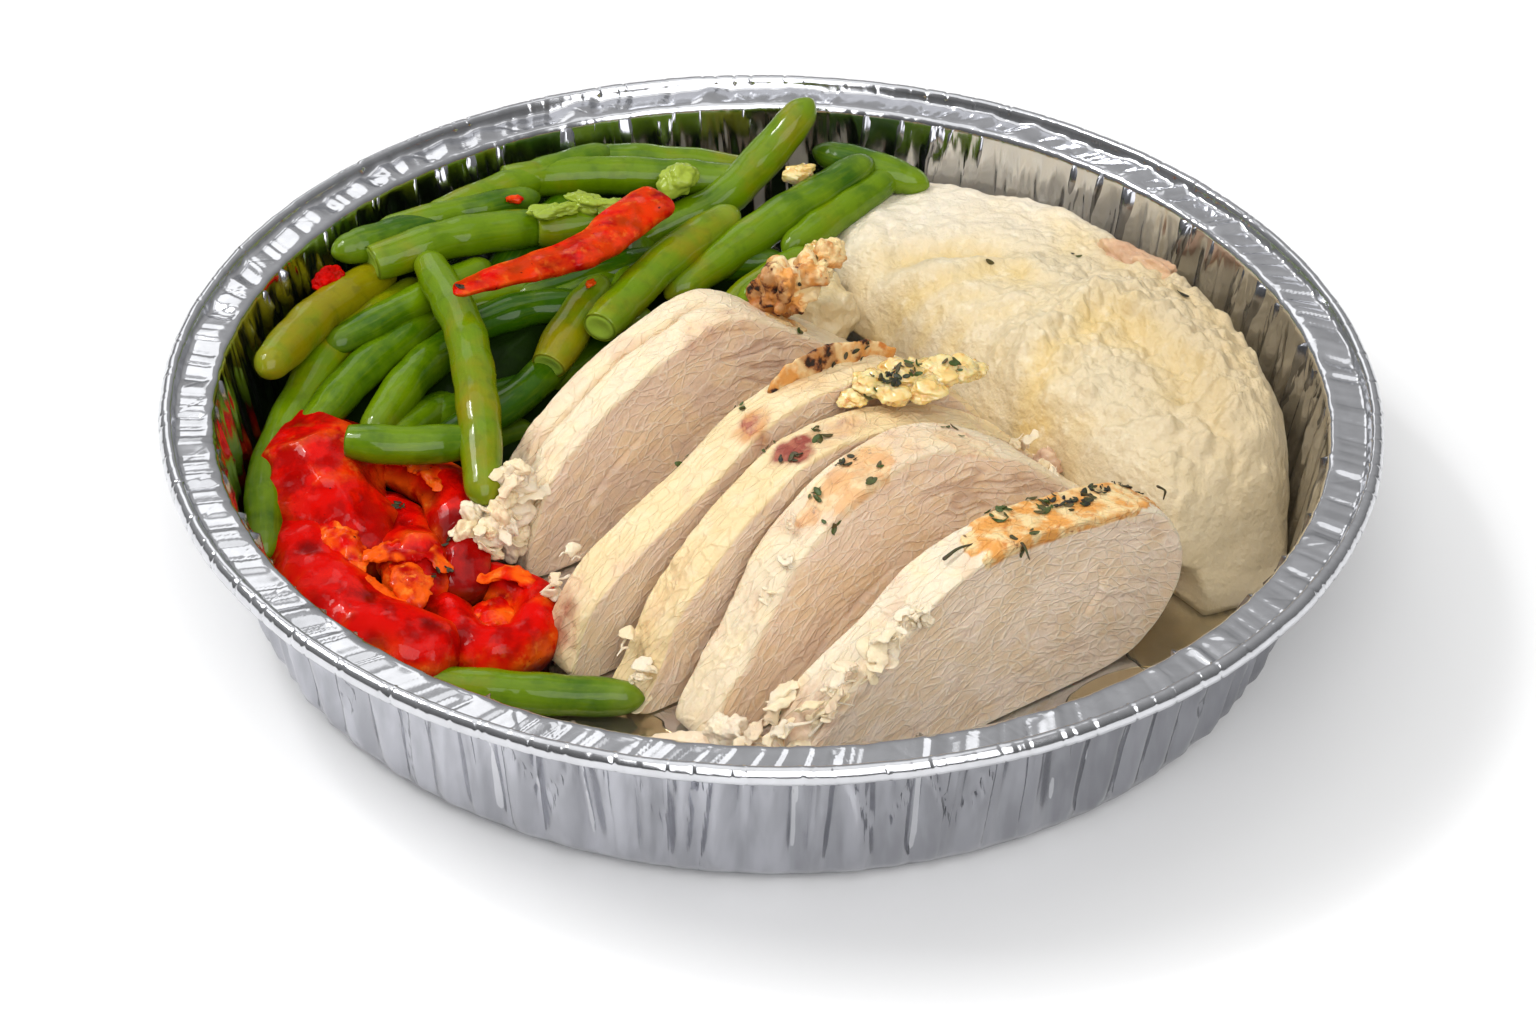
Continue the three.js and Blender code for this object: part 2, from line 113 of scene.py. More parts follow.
class MealFoodSettings(bpy.types.PropertyGroup):
    """The food."""

    chicken_meat: colour_prop("Chicken meat", "Cut faces of the breast", 248, 225, 198)
    chicken_edge: colour_prop("Chicken edge", "Outside of the breast", 236, 221, 196)
    chicken_roast: colour_prop("Roast skin", "Browned patches", 228, 160, 80)
    mash: colour_prop("Mash", "Mashed potato", 216, 200, 166)
    # A random yellow tone of the mash, and painted shade: the colour its hollows are darkened to.
    mash_yellow_and_hollow_shade: colour_prop("Mash hollow", "Buttery hollows of the mash", 218, 192, 132)
    bean_olive: colour_prop("Olive bean", "The most cooked beans", 134, 124, 4)
    bean_green: colour_prop("Green bean", "The middling beans", 98, 128, 2)
    bean_deep: colour_prop("Deep green bean", "The freshest beans", 44, 84, 2)
    pepper_red: colour_prop("Pepper", "Skin side of the roasted pepper", 206, 7, 1)
    pepper_flesh: colour_prop("Pepper flesh", "Inner flesh at the torn edges", 232, 88, 12)
    onion: colour_prop("Onion", "Soft fried onion", 244, 200, 118)
    fleck_size: size_prop("Fleck size", "Length of a chopped herb leaf", 0.0024, 0.01)


class MealStageSettings(bpy.types.PropertyGroup):
    """Floor, lights and camera."""

    floor_size: size_prop("Floor size", "Side of the square floor", 6.0, 20)
    distance: size_prop("Camera distance", "From the camera to the point it looks at", 0.7694, 5)
    elevation: angle_prop("Camera elevation", "How far the camera looks down", 36.4, 90)
    roll: angle_prop("Camera roll", "Turn about the line of sight", 1.154, 180, -180)
    lens: number_prop("Lens", "Focal length in millimetres", 93.75, 300, 10)
    key_power: number_prop("Key light", "Power of the large soft light in watts", 6.0, 500)
    fill_power: number_prop("Fill light", "Power of the fill light in watts", 22.0, 500)
    surround: number_prop("Surround", "Brightness of the room overhead", 0.3, 5)


# ---- numbers on surfaces ------------------------------------------------------


def smooth(value, low, high):
    """Climbs from 0 at low to 1 at high along 3t^2 - 2t^3."""
    share = np.clip((value - low) / (high - low), 0, 1)
    return share * share * (3 - 2 * share)


def drawn(cell, seed):
    """A repeatable number from 0 to 1 for each whole-numbered lattice cell."""
    mixed = (seed + 1) * 97531357
    for axis, prime in enumerate((73856093, 19349663, 83492791)):
        mixed = mixed ^ cell[..., axis] * prime
    mixed = mixed & 0xFFFFFFFF
    mixed = (mixed ^ mixed >> 13) * 1274126177 & 0xFFFFFFFF
    mixed = (mixed ^ mixed >> 15) * 2246822519 & 0xFFFFFFFF
    return (mixed ^ mixed >> 16) / 0xFFFFFFFF


def noise(points, size, seed=0, octaves=1):
    """Value noise from -1 to 1: lattice draws `size` apart (one number, or one for each axis),
    blended by a quintic. Each further octave has half the size and half the height."""
    total, weight, whole = 0.0, 1.0, 0.0
    step = np.asarray(size, float)
    for octave in range(octaves):
        scaled = points / step
        cell = np.floor(scaled).astype(np.int64)
        part = scaled - cell
        part = part**3 * (part * (part * 6 - 15) + 10)
        value = 0.0
        for corner in product((0, 1), repeat=3):
            share = np.prod(np.where(np.array(corner) == 1, part, 1 - part), axis=-1)
            value = value + share * drawn(cell + np.array(corner), seed + 11 * octave)
        total = total + weight * (2 * value - 1)
        whole += weight
        weight *= 0.5
        step = step * 0.5
    return total / whole


def strewn(points, size, seed=0):
    """Distance, in cell sizes, to the nearest of points strewn one to each lattice cell."""
    scaled = points / np.asarray(size, float)
    cell = np.floor(scaled).astype(np.int64)
    nearest = np.full(points.shape[:-1], 9.0)
    for corner in product((-1, 0, 1), repeat=3):
        near = cell + np.array(corner)
        spot = near + np.stack([drawn(near, seed + k) for k in range(3)], axis=-1)
        nearest = np.minimum(nearest, np.linalg.norm(scaled - spot, axis=-1))
    return nearest


def polyline_distance(points, path):
    """Distance of each point to a smooth line in the plane, above 0 on its left and below 0 on its right,
    and how far along it (0 to 1) the nearest place is."""
    path = curve_through(path, 6 * len(path))
    best = np.full(points.shape[:-1], 1e9)
    where = np.zeros(points.shape[:-1])
    side = np.ones(points.shape[:-1])
    for k, (start, end) in enumerate(zip(path[:-1], path[1:])):
        step = end - start
        offset = points - start
        share = np.clip(offset @ step / (step @ step), 0, 1)
        gap = np.linalg.norm(offset - share[..., None] * step, axis=-1)
        turned = np.where(step[0] * offset[..., 1] - step[1] * offset[..., 0] < 0, -1, 1)
        closer = gap < best
        where = np.where(closer, (k + share) / (len(path) - 1), where)
        side = np.where(closer, turned, side)
        best = np.minimum(gap, best)
    return best * side, where


def curve_through(points, count, closed=False):
    """A Catmull-Rom curve through given points, cut into equal steps of its length."""
    p = np.asarray(points, float)
    if closed:
        p = np.vstack([p[-1], p, p[0], p[1]])
    else:
        p = np.vstack([2 * p[0] - p[1], p, 2 * p[-1] - p[-2]])
    spans = len(p) - 3
    t = np.linspace(0, spans, spans * 30 + 1)
    k = np.minimum(t.astype(int), spans - 1)
    f = (t - k)[:, None]
    a, b, c, d = p[k], p[k + 1], p[k + 2], p[k + 3]
    fine = 0.5 * (2 * b + (c - a) * f + (2 * a - 5 * b + 4 * c - d) * f**2 + (3 * b - a - 3 * c + d) * f**3)
    run = np.concatenate([[0], np.cumsum(np.linalg.norm(np.diff(fine, axis=0), axis=1))])
    at = np.linspace(0, run[-1], count, endpoint=not closed)
    return np.stack([np.interp(at, run, fine[:, axis]) for axis in range(fine.shape[1])], axis=1)


def unit(vectors):
    """The same directions with length 1."""
    return vectors / np.maximum(np.linalg.norm(vectors, axis=-1, keepdims=True), 1e-9)


def outward(rings):
    """For rings of points, the direction from the middle of each ring."""
    return unit(rings - rings.mean(axis=1, keepdims=True))


def wander(points, size, seed, octaves=2, axes=3):
    """A shift of each point by noise of its own along each axis."""
    return np.stack([noise(points, size, seed + k, octaves) for k in range(axes)], axis=-1)


def grid(*values):
    """Points on a grid, from a row, a column or a grid of values for each axis."""
    return np.stack(np.broadcast_arrays(*values), axis=-1)


def directions(sides):
    """Equal steps round a circle in the plane, as directions."""
    turn = np.linspace(0, TAU, sides, endpoint=False)
    return np.stack([np.cos(turn), np.sin(turn)], axis=1)


# ---- meshes -------------------------------------------------------------------


# A closed surface in the making: points in millimetres, triangles, and marks, a value at each point.
Skin = namedtuple("Skin", "points faces marks")


def wrapped(rings, **marks):
    """Joins closed rings of points (rows, sides, 3) into a skin, with a fan over each end, and turns its
    faces outwards. A mark may be one number, or a value for each ring, each side or each point."""
    rows, sides = rings.shape[:2]
    index = np.arange(rows * sides).reshape(rows, sides)
    turned = np.roll(index, -1, axis=1)
    a, b, c, d = index[:-1], turned[:-1], turned[1:], index[1:]
    first, last = np.full(sides, rows * sides), np.full(sides, rows * sides + 1)
    faces = np.concatenate(
        [
            np.stack([a, b, c], axis=-1).reshape(-1, 3),
            np.stack([a, c, d], axis=-1).reshape(-1, 3),
            np.stack([turned[0], index[0], first], axis=-1),
            np.stack([index[-1], turned[-1], last], axis=-1),
        ]
    )
    points = np.concatenate([rings.reshape(-1, 3), [rings[0].mean(axis=0)], [rings[-1].mean(axis=0)]])
    a, b, c = (points[faces[:, k]] for k in range(3))
    if np.einsum("ij,ij->i", a, np.cross(b, c)).sum() < 0:
        faces = faces[:, ::-1]
    values = {}
    for name, mark in marks.items():
        full = np.broadcast_to(mark, (rows, sides)).astype(float)
        values[name] = np.concatenate([full.ravel(), [full[0].mean()], [full[-1].mean()]])
    return Skin(points, faces, values)


def joined(skins):
    """Several skins as one, with any mark that one lacks taken as 0."""
    names = sorted({name for skin in skins for name in skin.marks})
    starts = np.cumsum([0] + [len(skin.points) for skin in skins[:-1]])
    marks = {
        name: np.concatenate([skin.marks.get(name, np.zeros(len(skin.points))) for skin in skins])
        for name in names
    }
    points = np.concatenate([skin.points for skin in skins])
    faces = np.concatenate([skin.faces + start for skin, start in zip(skins, starts)])
    return Skin(points, faces, marks)


def repeated(template, places, turns, sizes, **marks):
    """Copies of one small skin: each at its place, turned by its matrix and scaled by its size."""
    count, corners = len(places), len(template.points)
    points = np.einsum("nij,kj->nki", turns, template.points) * sizes[:, None, None] + places[:, None, :]
    faces = template.faces[None] + (np.arange(count) * corners)[:, None, None]
    spread = {name: np.repeat(value, corners) for name, value in marks.items()}
    return Skin(points.reshape(-1, 3), faces.reshape(-1, 3), spread)


def kept_inside(points):
    """Brings food that would stand in the foil back to just inside it: round the corner of the tray's
    floor, and above that along its sloping wall."""
    far, height = np.hypot(points[:, 0], points[:, 1]), points[:, 2]
    inner = BASE_CORNER - FOIL - FOOD_GAP
    corner = np.sqrt(np.maximum(inner**2 - np.maximum(BASE_CORNER - height, 0) ** 2, 0))
    slope = (LIP_RADIUS - BASE_RADIUS) / (FLANGE_TOP - BASE_CORNER)
    limit = BASE_RADIUS - BASE_CORNER + corner + slope * np.maximum(height - BASE_CORNER, 0)
    points[:, :2] *= np.minimum(1, limit / np.maximum(far, 1))[:, None]


def in_scene(name, data):
    """A new object in the scene."""
    made = bpy.data.objects.new(name, data)
    bpy.context.scene.collection.objects.link(made)
    return made


def make_piece(name, skins, material, slot, *nodes):
    """Puts skins into one smooth mesh object that rides with the tray and stands for the nodes."""
    whole = joined(skins)
    if slot != "foil":
        kept_inside(whole.points)
    mesh = bpy.data.meshes.new(name)
    count = len(whole.faces)
    mesh.vertices.add(len(whole.points))
    mesh.vertices.foreach_set("co", (whole.points * MM).astype(np.float32).ravel())
    mesh.loops.add(3 * count)
    mesh.loops.foreach_set("vertex_index", whole.faces.astype(np.int32).ravel())
    mesh.polygons.add(count)
    mesh.polygons.foreach_set("loop_start", np.arange(0, 3 * count, 3, dtype=np.int32))
    mesh.update(calc_edges=True)
    for mark, values in whole.marks.items():
        layer = mesh.attributes.new(mark, "FLOAT", "POINT")
        layer.data.foreach_set("value", values.astype(np.float32))
    mesh.shade_smooth()
    mesh.materials.append(material)
    piece = in_scene(name, mesh)
    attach(piece, "root")
    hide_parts(*nodes)


def built(name):
    """Points (mm) and normals of a piece that is already in the scene."""
    piece = bpy.data.objects.get(name)
    if piece is None:
        raise RuntimeError(f"{name} has to be made first")
    count = len(piece.data.vertices)
    points, normals = np.zeros(3 * count, np.float32), np.zeros(3 * count, np.float32)
    piece.data.vertices.foreach_get("co", points)
    piece.data.vertices.foreach_get("normal", normals)
    return points.reshape(-1, 3) / MM, normals.reshape(-1, 3)


# ---- finishes -----------------------------------------------------------------


class Finish:
    """A material in the making: small calls that add one node each and return its output."""

    def __init__(self, name):
        self.material = bpy.data.materials.new(name)
        self.material.use_nodes = True
        self.tree = self.material.node_tree
        self.shader = next(n for n in self.tree.nodes if n.type == "BSDF_PRINCIPLED")
        self.place = self.tree.nodes.new("ShaderNodeTexCoord").outputs["Object"]

    def node(self, kind, links=(), **values):
        """One node with its settings, and its inputs linked."""
        made = self.tree.nodes.new(kind)
        for key, value in values.items():
            setattr(made, key, value)
        for socket, source in dict(links).items():
            self.feed(made.inputs[socket], source)
        return made

    def feed(self, socket, source):
        """Links an output to a socket, or sets the socket to a plain value."""
        if isinstance(source, bpy.types.NodeSocket):
            self.tree.links.new(source, socket)
        elif hasattr(source, "__len__") and len(source) == 3 and socket.type == "RGBA":
            socket.default_value = (*source, 1)
        else:
            socket.default_value = source

    def finished(self, sockets):
        """Gives the shader's sockets their values and outputs, and returns the material."""
        for name, value in sockets.items():
            self.feed(self.shader.inputs[name], value)
        return self.material

    def stretched(self, upwards):
        """Object coordinates with the heights scaled, which draws a pattern out up the wall."""
        links = {"Vector": self.place, "Scale": (1, 1, upwards)}
        return self.node("ShaderNodeMapping", links, vector_type="POINT").outputs[0]

    def noise(self, size, detail=3.0, vector=None, rough=0.55, warp=0.0):
        """Noise whose features are about `size` millimetres."""
        links = {"Vector": vector or self.place, "Scale": 1 / (size * MM), "Detail": detail}
        links.update({"Roughness": rough, "Distortion": warp})
        return self.node("ShaderNodeTexNoise", links).outputs["Fac"]

    def lace(self, size, vector):
        """Distance to the borders between cells about `size` millimetres wide."""
        links = {"Vector": vector, "Scale": 1 / (size * MM)}
        return self.node("ShaderNodeTexVoronoi", links, feature="DISTANCE_TO_EDGE").outputs["Distance"]

    def mark(self, name):
        """A value that the mesh carries."""
        return self.node("ShaderNodeAttribute", attribute_name=name).outputs["Fac"]

    def along(self, first, second):
        """Coordinates from two marks, for a pattern that follows the surface."""
        return self.node("ShaderNodeCombineXYZ", {"X": self.mark(first), "Y": self.mark(second)}).outputs[0]

    def axis(self, name):
        """One of the object coordinates, in metres."""
        return self.node("ShaderNodeSeparateXYZ", {"Vector": self.place}).outputs[name]

    def math(self, operation, a, b=0.0, clamp=False):
        """One sum."""
        made = self.node("ShaderNodeMath", operation=operation, use_clamp=clamp)
        self.feed(made.inputs[0], a)
        self.feed(made.inputs[1], b)
        return made.outputs[0]

    def times(self, a, b, clamp=False):
        """A product."""
        return self.math("MULTIPLY", a, b, clamp)

    def span(self, value, low, high, to_low=0.0, to_high=1.0):
        """The value's stretch from low to high, eased onto another."""
        links = {"Value": value, "From Min": low, "From Max": high, "To Min": to_low, "To Max": to_high}
        return self.node("ShaderNodeMapRange", links, interpolation_type="SMOOTHSTEP").outputs["Result"]

    def mix(self, share, a, b, blend="MIX"):
        """Two colours mixed."""
        made = self.node("ShaderNodeMix", data_type="RGBA", blend_type=blend)
        self.feed(made.inputs[0], share)
        self.feed(made.inputs[6], a)
        self.feed(made.inputs[7], b)
        return made.outputs[2]

    def layered(self, base, *layers):
        """Colours laid over a base one after another, each by its share."""
        for share, colour in layers:
            base = self.mix(share, base, colour)
        return base

    def bump(self, height, strength, depth, under=None):
        """Fine relief `depth` millimetres deep."""
        links = {"Height": height, "Strength": strength, "Distance": depth * MM}
        if under:
            links["Normal"] = under
        return self.node("ShaderNodeBump", links).outputs[0]


def scaled_colour(colour, factor):
    """A lighter or darker shade."""
    return tuple(min(1.0, c * factor) for c in colour)


# ---- the foil tray --------------------------------------------------------------

TURNS = 1600  # steps round the tray
BEAD_START = 111.4  # where the flange ends and the rolled bead begins


def folds(turn, count, seed, width, low, high, jitter=0.33):
    """A line round the tray with creases: `count` narrow dips `width` degrees across, low to high deep,
    with flat facets between them that tilt a little. Straight between its corners, as foil is."""
    draw = np.random.default_rng(seed)
    middle = (np.arange(count) + draw.uniform(-jitter, jitter, count)) * TAU / count
    half = np.radians(width) * draw.uniform(0.5, 1.5, count) / 2
    level = draw.uniform(-0.16, 0.16, (2, count))
    depth = draw.uniform(low, high, count)
    at = np.stack([middle - half, middle, middle + half], axis=1).ravel()
    value = np.stack([level[0], -depth, level[1]], axis=1).ravel()
    return np.interp(turn, at, value, period=TAU)


def facets(turn, count, seed):
    """A zigzag round the tray with uneven steps and heights from -1 to 1."""
    draw = np.random.default_rng(seed)
    at = np.sort((np.arange(count) + draw.uniform(-0.42, 0.42, count)) * TAU / count)
    return np.interp(turn, at, draw.uniform(-1, 1, count), period=TAU)


def laps(turn, count, seed, width, low, high):
    """Foil that is tucked over itself round the tray: it climbs slowly, then drops within `width` degrees."""
    draw = np.random.default_rng(seed)
    middle = (np.arange(count) + draw.uniform(-0.4, 0.4, count)) * TAU / count
    half = np.radians(width) / 2
    high_side, low_side = draw.uniform(low, high, (2, count)) / 2
    swap = draw.uniform(0, 1, count) < 0.35
    before, after = np.where(swap, -low_side, high_side), np.where(swap, high_side, -low_side)
    at = np.stack([middle - half, middle + half], axis=1).ravel()
    return np.interp(turn, at, np.stack([before, after], axis=1).ravel(), period=TAU)


def arc(centre, radius, start, end, steps):
    """Points on an arc, in degrees, as rows of radius and height."""
    angle = np.radians(np.linspace(start, end, steps))
    return np.stack([centre[0] + radius * np.cos(angle), centre[1] + radius * np.sin(angle)], axis=1)


def line(start, end, steps):
    """Points on a straight line, without its first."""
    return np.linspace(start, end, steps + 1)[1:]


def tray_profile():
    """The section of the tray from the middle of its floor, up inside, over the bead and back underneath."""
    flat = BASE_RADIUS - BASE_CORNER
    inner = np.concatenate(
        [
            [[3, FOIL], [60, FOIL], [86, FOIL]],
            arc((flat, BASE_CORNER), BASE_CORNER - FOIL, -90, 0, 5),
            line((BASE_RADIUS - FOIL, BASE_CORNER), (LIP_RADIUS - 0.2, FLANGE_TOP - 2.4), 9),
            [[104.15, 35.4], [104.3, 36.1], [104.65, 36.65], [105.15, 36.98]],
        ]
    )
    flange = line((105.4, 37.05), (111.1, 36.75), 8)
    top = np.concatenate([flange, [[111.5, 37.1], [111.8, 37.9], [112.1, 38.6]]])
    bead = [[112.5, 38.95], [113.0, 39.0], [113.6, 38.75], [114.1, 38.2], [114.4, 37.6], [114.5, 36.9],
            [114.35, 36.2], [113.9, 35.75], [113.2, 35.7], [112.4, 36.0]]
    outer = np.concatenate(
        [
            [[110.8, 36.0], [108.5, 36.2], [106.2, 36.2], [105.4, 35.8]],
            line((105.0, 34.8), (BASE_RADIUS, BASE_CORNER), 9),
            arc((flat, BASE_CORNER), BASE_CORNER, 0, -90, 5)[1:],
            [[60, 0], [3, 0]],
        ]
    )
    return inner, top, bead, outer


def tray_skin(settings):
    """Turns the profile round the axis. Each row is then pushed along its own fold line: the wall in and
    out by its pleats, the flange up and down by slanted wrinkles, the bead inwards where it is crimped."""
    parts = tray_profile()
    rows = np.concatenate(parts)
    part = np.repeat(np.arange(4), [len(p) for p in parts])
    radius, height = rows[:, :1], rows[:, 1:]
    turn = np.linspace(0, TAU, TURNS, endpoint=False)[None, :]
    pleat, crease, crimp = settings.pleat_depth / MM, settings.flange_crease / MM, settings.crimp_depth / MM
    around = grid(100 * np.cos(turn), 100 * np.sin(turn), height)
    slant = turn + 0.0011 * (height - 20) * facets(turn, 60, 3)
    wall = smooth(height, 1, 10) * (1 - smooth(radius, 105.6, 107.5))
    upper = smooth(height, 12, 34)
    flutes = 0.55 * np.sin(84 * slant + 2.5 * facets(turn, 30, 4)) + 0.4 * facets(slant, 150, 8)
    pleats = folds(slant, 90, 5, 0.8, 0.3, 1.2) + 0.4 * laps(slant, 70, 6, 0.4, 0.4, 1.4)
    tucks = folds(slant + 0.006 * (height - 36) * facets(turn, 40, 6), 150, 15, 0.6, 0.0, 1.5)
    vees = folds(turn + 0.0035 * (height - 12), 26, 16, 0.6, 0.3, 1.6)
    vees = vees + folds(turn - 0.0035 * (height - 12), 26, 16, 0.6, 0.3, 1.6)
    rumple = 0.25 * noise(around, (6, 6, 14), 21, 2)
    creases = (0.4 + 0.4 * upper) * pleats + 0.7 * smooth(height, 20, 34) * tucks
    creases = creases + 0.6 * smooth(height, 12, 20) * vees
    calm = 1 - 0.85 * (part < 2)[:, None] * smooth(height, 28, 35)
    bold = np.where(part == 3, 2.1, 1.0)[:, None]
    push = pleat * wall * calm * bold * (flutes + creases + rumple)
    push = push + 0.15 * smooth(height, 4, 0.5) * (radius > 90) * facets(turn, 220, 9)

    top = height > 34
    flat = smooth(radius, 105.2, 106.8) * (1 - smooth(radius, 111.0, 111.8)) * top
    lean = turn + 0.0035 * (radius - 108) * (1 + 0.9 * facets(turn, 30, 17))
    wrinkle = 0.6 * laps(lean, 110, 31, 0.7, 0.2, 1.2) + 0.8 * facets(lean, 210, 33)
    wrinkle = wrinkle + 0.5 * folds(lean, 170, 34, 0.7, 0, 1.3)
    wrinkle = wrinkle + 0.25 * folds(turn - 0.007 * (radius - 108), 60, 35, 0.7, 0.0, 1.1)
    lift = crease * flat * wrinkle * (0.8 + 0.4 * noise(around, (9, 9, 9), 41))
    lip = smooth(radius, 103.9, 104.6) * (1 - smooth(radius, 105.4, 106.4)) * top
    lift = lift + 0.08 * lip * facets(turn, 150, 47)

    rim = smooth(radius, BEAD_START, BEAD_START + 0.8)
    nick = folds(turn + 0.002 * (height - 37), 190, 53, 0.26, 0.0, 1.5, 0.42)
    bent = 0.14 * noise(around, (9, 9, 4), 57, 2) + 0.05 * laps(turn, 80, 58, 0.3, 0.5, 1.5)
    push = push + rim * (crimp * nick + bent)
    lift = lift + rim * (0.05 * facets(turn, 240, 59) + 0.35 * crimp * nick)

    radial = radius + push * (radius > 20)
    points = grid(radial * np.cos(turn), radial * np.sin(turn), height + lift)
    return wrapped(points, inside=(part < 3)[:, None])


def foil_finish(settings):
    """Bare aluminium: metal with a fine rolled grain, faint dents and a little grease inside. Its outside is
    painted darker as painted shade and painted reflection: in vertical bands up the wall, and more to the
    right.
    """
    f = Finish("crimped_foil")
    grain = f.noise(0.5, 2.0, f.stretched(0.1))
    dents = f.noise(4.0, 2.0, f.stretched(0.35))
    inside = f.mark("inside")
    # Painted shade and painted reflection on the outside: darker in vertical noise bands, which stand in for
    # the light and dark of the wall's facets, and darker still towards the right.
    streak = f.span(f.noise(5.0, 3.0, f.stretched(0.12)), 0.35, 0.65, 0.64, 0.84)
    outer = f.times(streak, f.span(f.axis("X"), -0.04, 0.1, 1.0, 0.62))
    shade = f.node("ShaderNodeCombineColor", {"Red": outer, "Green": outer, "Blue": f.times(outer, 1.03)})
    metal = f.mix(f.span(dents, 0.3, 0.7), settings.metal, scaled_colour(settings.metal, 0.9))
    painted_dark_outside = f.mix(1.0, metal, shade.outputs[0], "MULTIPLY")
    return f.finished(
        {
            "Base Color": f.mix(inside, painted_dark_outside, metal),
            "Metallic": 1.0,
            "Roughness": f.span(inside, 0.0, 1.0, 0.22, 0.16),
            "Normal": f.bump(dents, 0.25, 0.12, f.bump(grain, 0.06, 0.03)),
        }
    )


class MEAL_OT_tray(bpy.types.Operator):
    """Make the crimped foil tray"""

    bl_idname = "meal.tray"
    bl_label = "Foil tray"

    def execute(self, context):
        settings = context.scene.meal_tray
        make_piece("foil_tray", [tray_skin(settings)], foil_finish(settings), "foil", "tray")
        return {"FINISHED"}


# ---- chicken --------------------------------------------------------------------

SLICE_STEPS = 430  # points round a slice
FACE_RINGS, EDGE_RINGS, SIDE_RINGS = 90, 4, 20  # rings of them over its parts
SLICE_GIRTH = 230  # about how long its outline is
SLICE_ROUND = 0.7  # radius of its edges
SLICE_HEART = np.array([0.0, 17.0])

# Each slice: how far its face stands out across the stack, its thickness, its outline as [along, up], its
# lean and its crack. `roast` and `stain` are patches on its outside: (along, half length, depth, half depth,
# strength), and a stain's hue. `tear` is how ragged its left end is, and `flaky` how far in that shows.
# `strip` is the width of the rim round its cut, `arcs` how clear the seams of the meat are, and `split` a
# line where it gapes. `warm` tints its outside, and `dusk` darkens its meat as painted shade, most on the
# slices at the back of the stack.
SLICES = [
    dict(
        name="chicken_slice_1", face=-16.5, thickness=13, lean=0.18, crack=2.6, seed=1,
        outline=[[-42, 0], [-44, 6], [-41, 13], [-36, 19.5], [-28, 25], [-18, 30], [-7, 34], [3, 36.5],
                 [11, 35.5], [19, 30.5], [30, 23], [42, 14], [48, 5], [44, 0], [20, 0], [-15, 0]],
        roast=[(23, 4, 4, 3, 0.8)], stain=[(4, 10, 1, 3.5, 0.45, 0.15), (-34, 5, 11, 4, 0.35, 0.5)],
        tear=0.7, strip=0.8, arcs=1.0, flaky=5, split=[[-31, 9], [-25, 14.2], [-21.4, 16.6], [-15, 20]],
        warm=0.25, dusk=0.5,
    ),
    dict(
        name="chicken_slice_2", face=14.5, thickness=9.5, lean=0.05, crack=0.0, seed=2,
        outline=[[-53, 0], [-55, 8], [-50, 17], [-39, 24], [-24, 31], [-12, 38], [2, 41], [14, 40],
                 [25, 36], [37, 25], [46, 10], [44, 0], [20, 0], [-20, 0]],
        roast=[], stain=[(-12, 5, 3, 3, 1.3, 0.3), (2, 8, 5, 4, 0.35, 0.2), (-54, 3, 7, 4, 0.8, 0.9)],
        tear=0.5, strip=0.5, arcs=0.3, flaky=4, split=None, warm=0.75, dusk=0.35,
    ),
    dict(
        name="chicken_slice_3", face=29, thickness=9.5, lean=0.1, crack=0.0, seed=3,
        outline=[[-50, 0], [-48, 7], [-42, 17], [-31, 27], [-20, 34], [-10, 38], [3, 38], [16, 35],
                 [28, 30], [40, 21], [48, 10], [46, 0], [20, 0], [-20, 0]],
        roast=[], stain=[(-11, 5, 5, 4, 1.7, 1.0), (0, 9, 4, 4, 0.55, 0.3), (-40, 8, 6, 3, 0.3, 0.1)],
        tear=0.7, strip=0.5, arcs=0.3, flaky=4, split=None, warm=0.8, dusk=0.3,
    ),
    dict(
        name="chicken_slice_4", face=44, thickness=10.5, lean=0.18, crack=0.0, seed=4,
        outline=[[-46, 0], [-42, 9], [-35, 16], [-26, 27], [-15, 34], [-4, 38], [9, 39], [20, 35],
                 [30, 29], [40, 20], [49, 11], [47, 2], [38, 0], [10, 0], [-20, 0]],
        roast=[(-7, 11, 5, 5, 0.34), (18, 7, 3, 4, 0.26)], stain=[(2, 18, 5, 6, 0.4, 0.25)], tear=0.6,
        strip=1.2, arcs=0.8, flaky=6, split=[[-24, 8], [-10, 16], [0, 20]], warm=0.25, dusk=0.25,
    ),
    dict(
        name="chicken_slice_5", face=68, thickness=10.5, lean=0.0, crack=0.0, seed=5,
        outline=[[-45, 0], [-45, 11], [-37, 22], [-24, 29], [-14, 36], [0, 39], [18, 37], [35, 33],
                 [43, 24], [44, 13], [38, 4], [28, 0], [0, 0], [-25, 0]],
        roast=[(17, 23, 5, 8, 1.0)], stain=[(-42, 9, 4, 6, 0.5, 0.6)], tear=1.0, strip=1.0,
        arcs=0.2, flaky=8, split=[[20, 15], [24, 20], [23, 26]], warm=0.1, dusk=0.1,
    ),
]


def slice_frame(cut, flat, depth):
    """Places of a slice: flat holds along and up, and depth runs back from its face."""
    up = np.maximum(flat[..., 1], 0)
    across = cut["face"] - depth - cut["lean"] * up
    place = flat[..., :1] * ALONG + across[..., None] * ACROSS
    return place + (FLOOR + up)[..., None] * UP


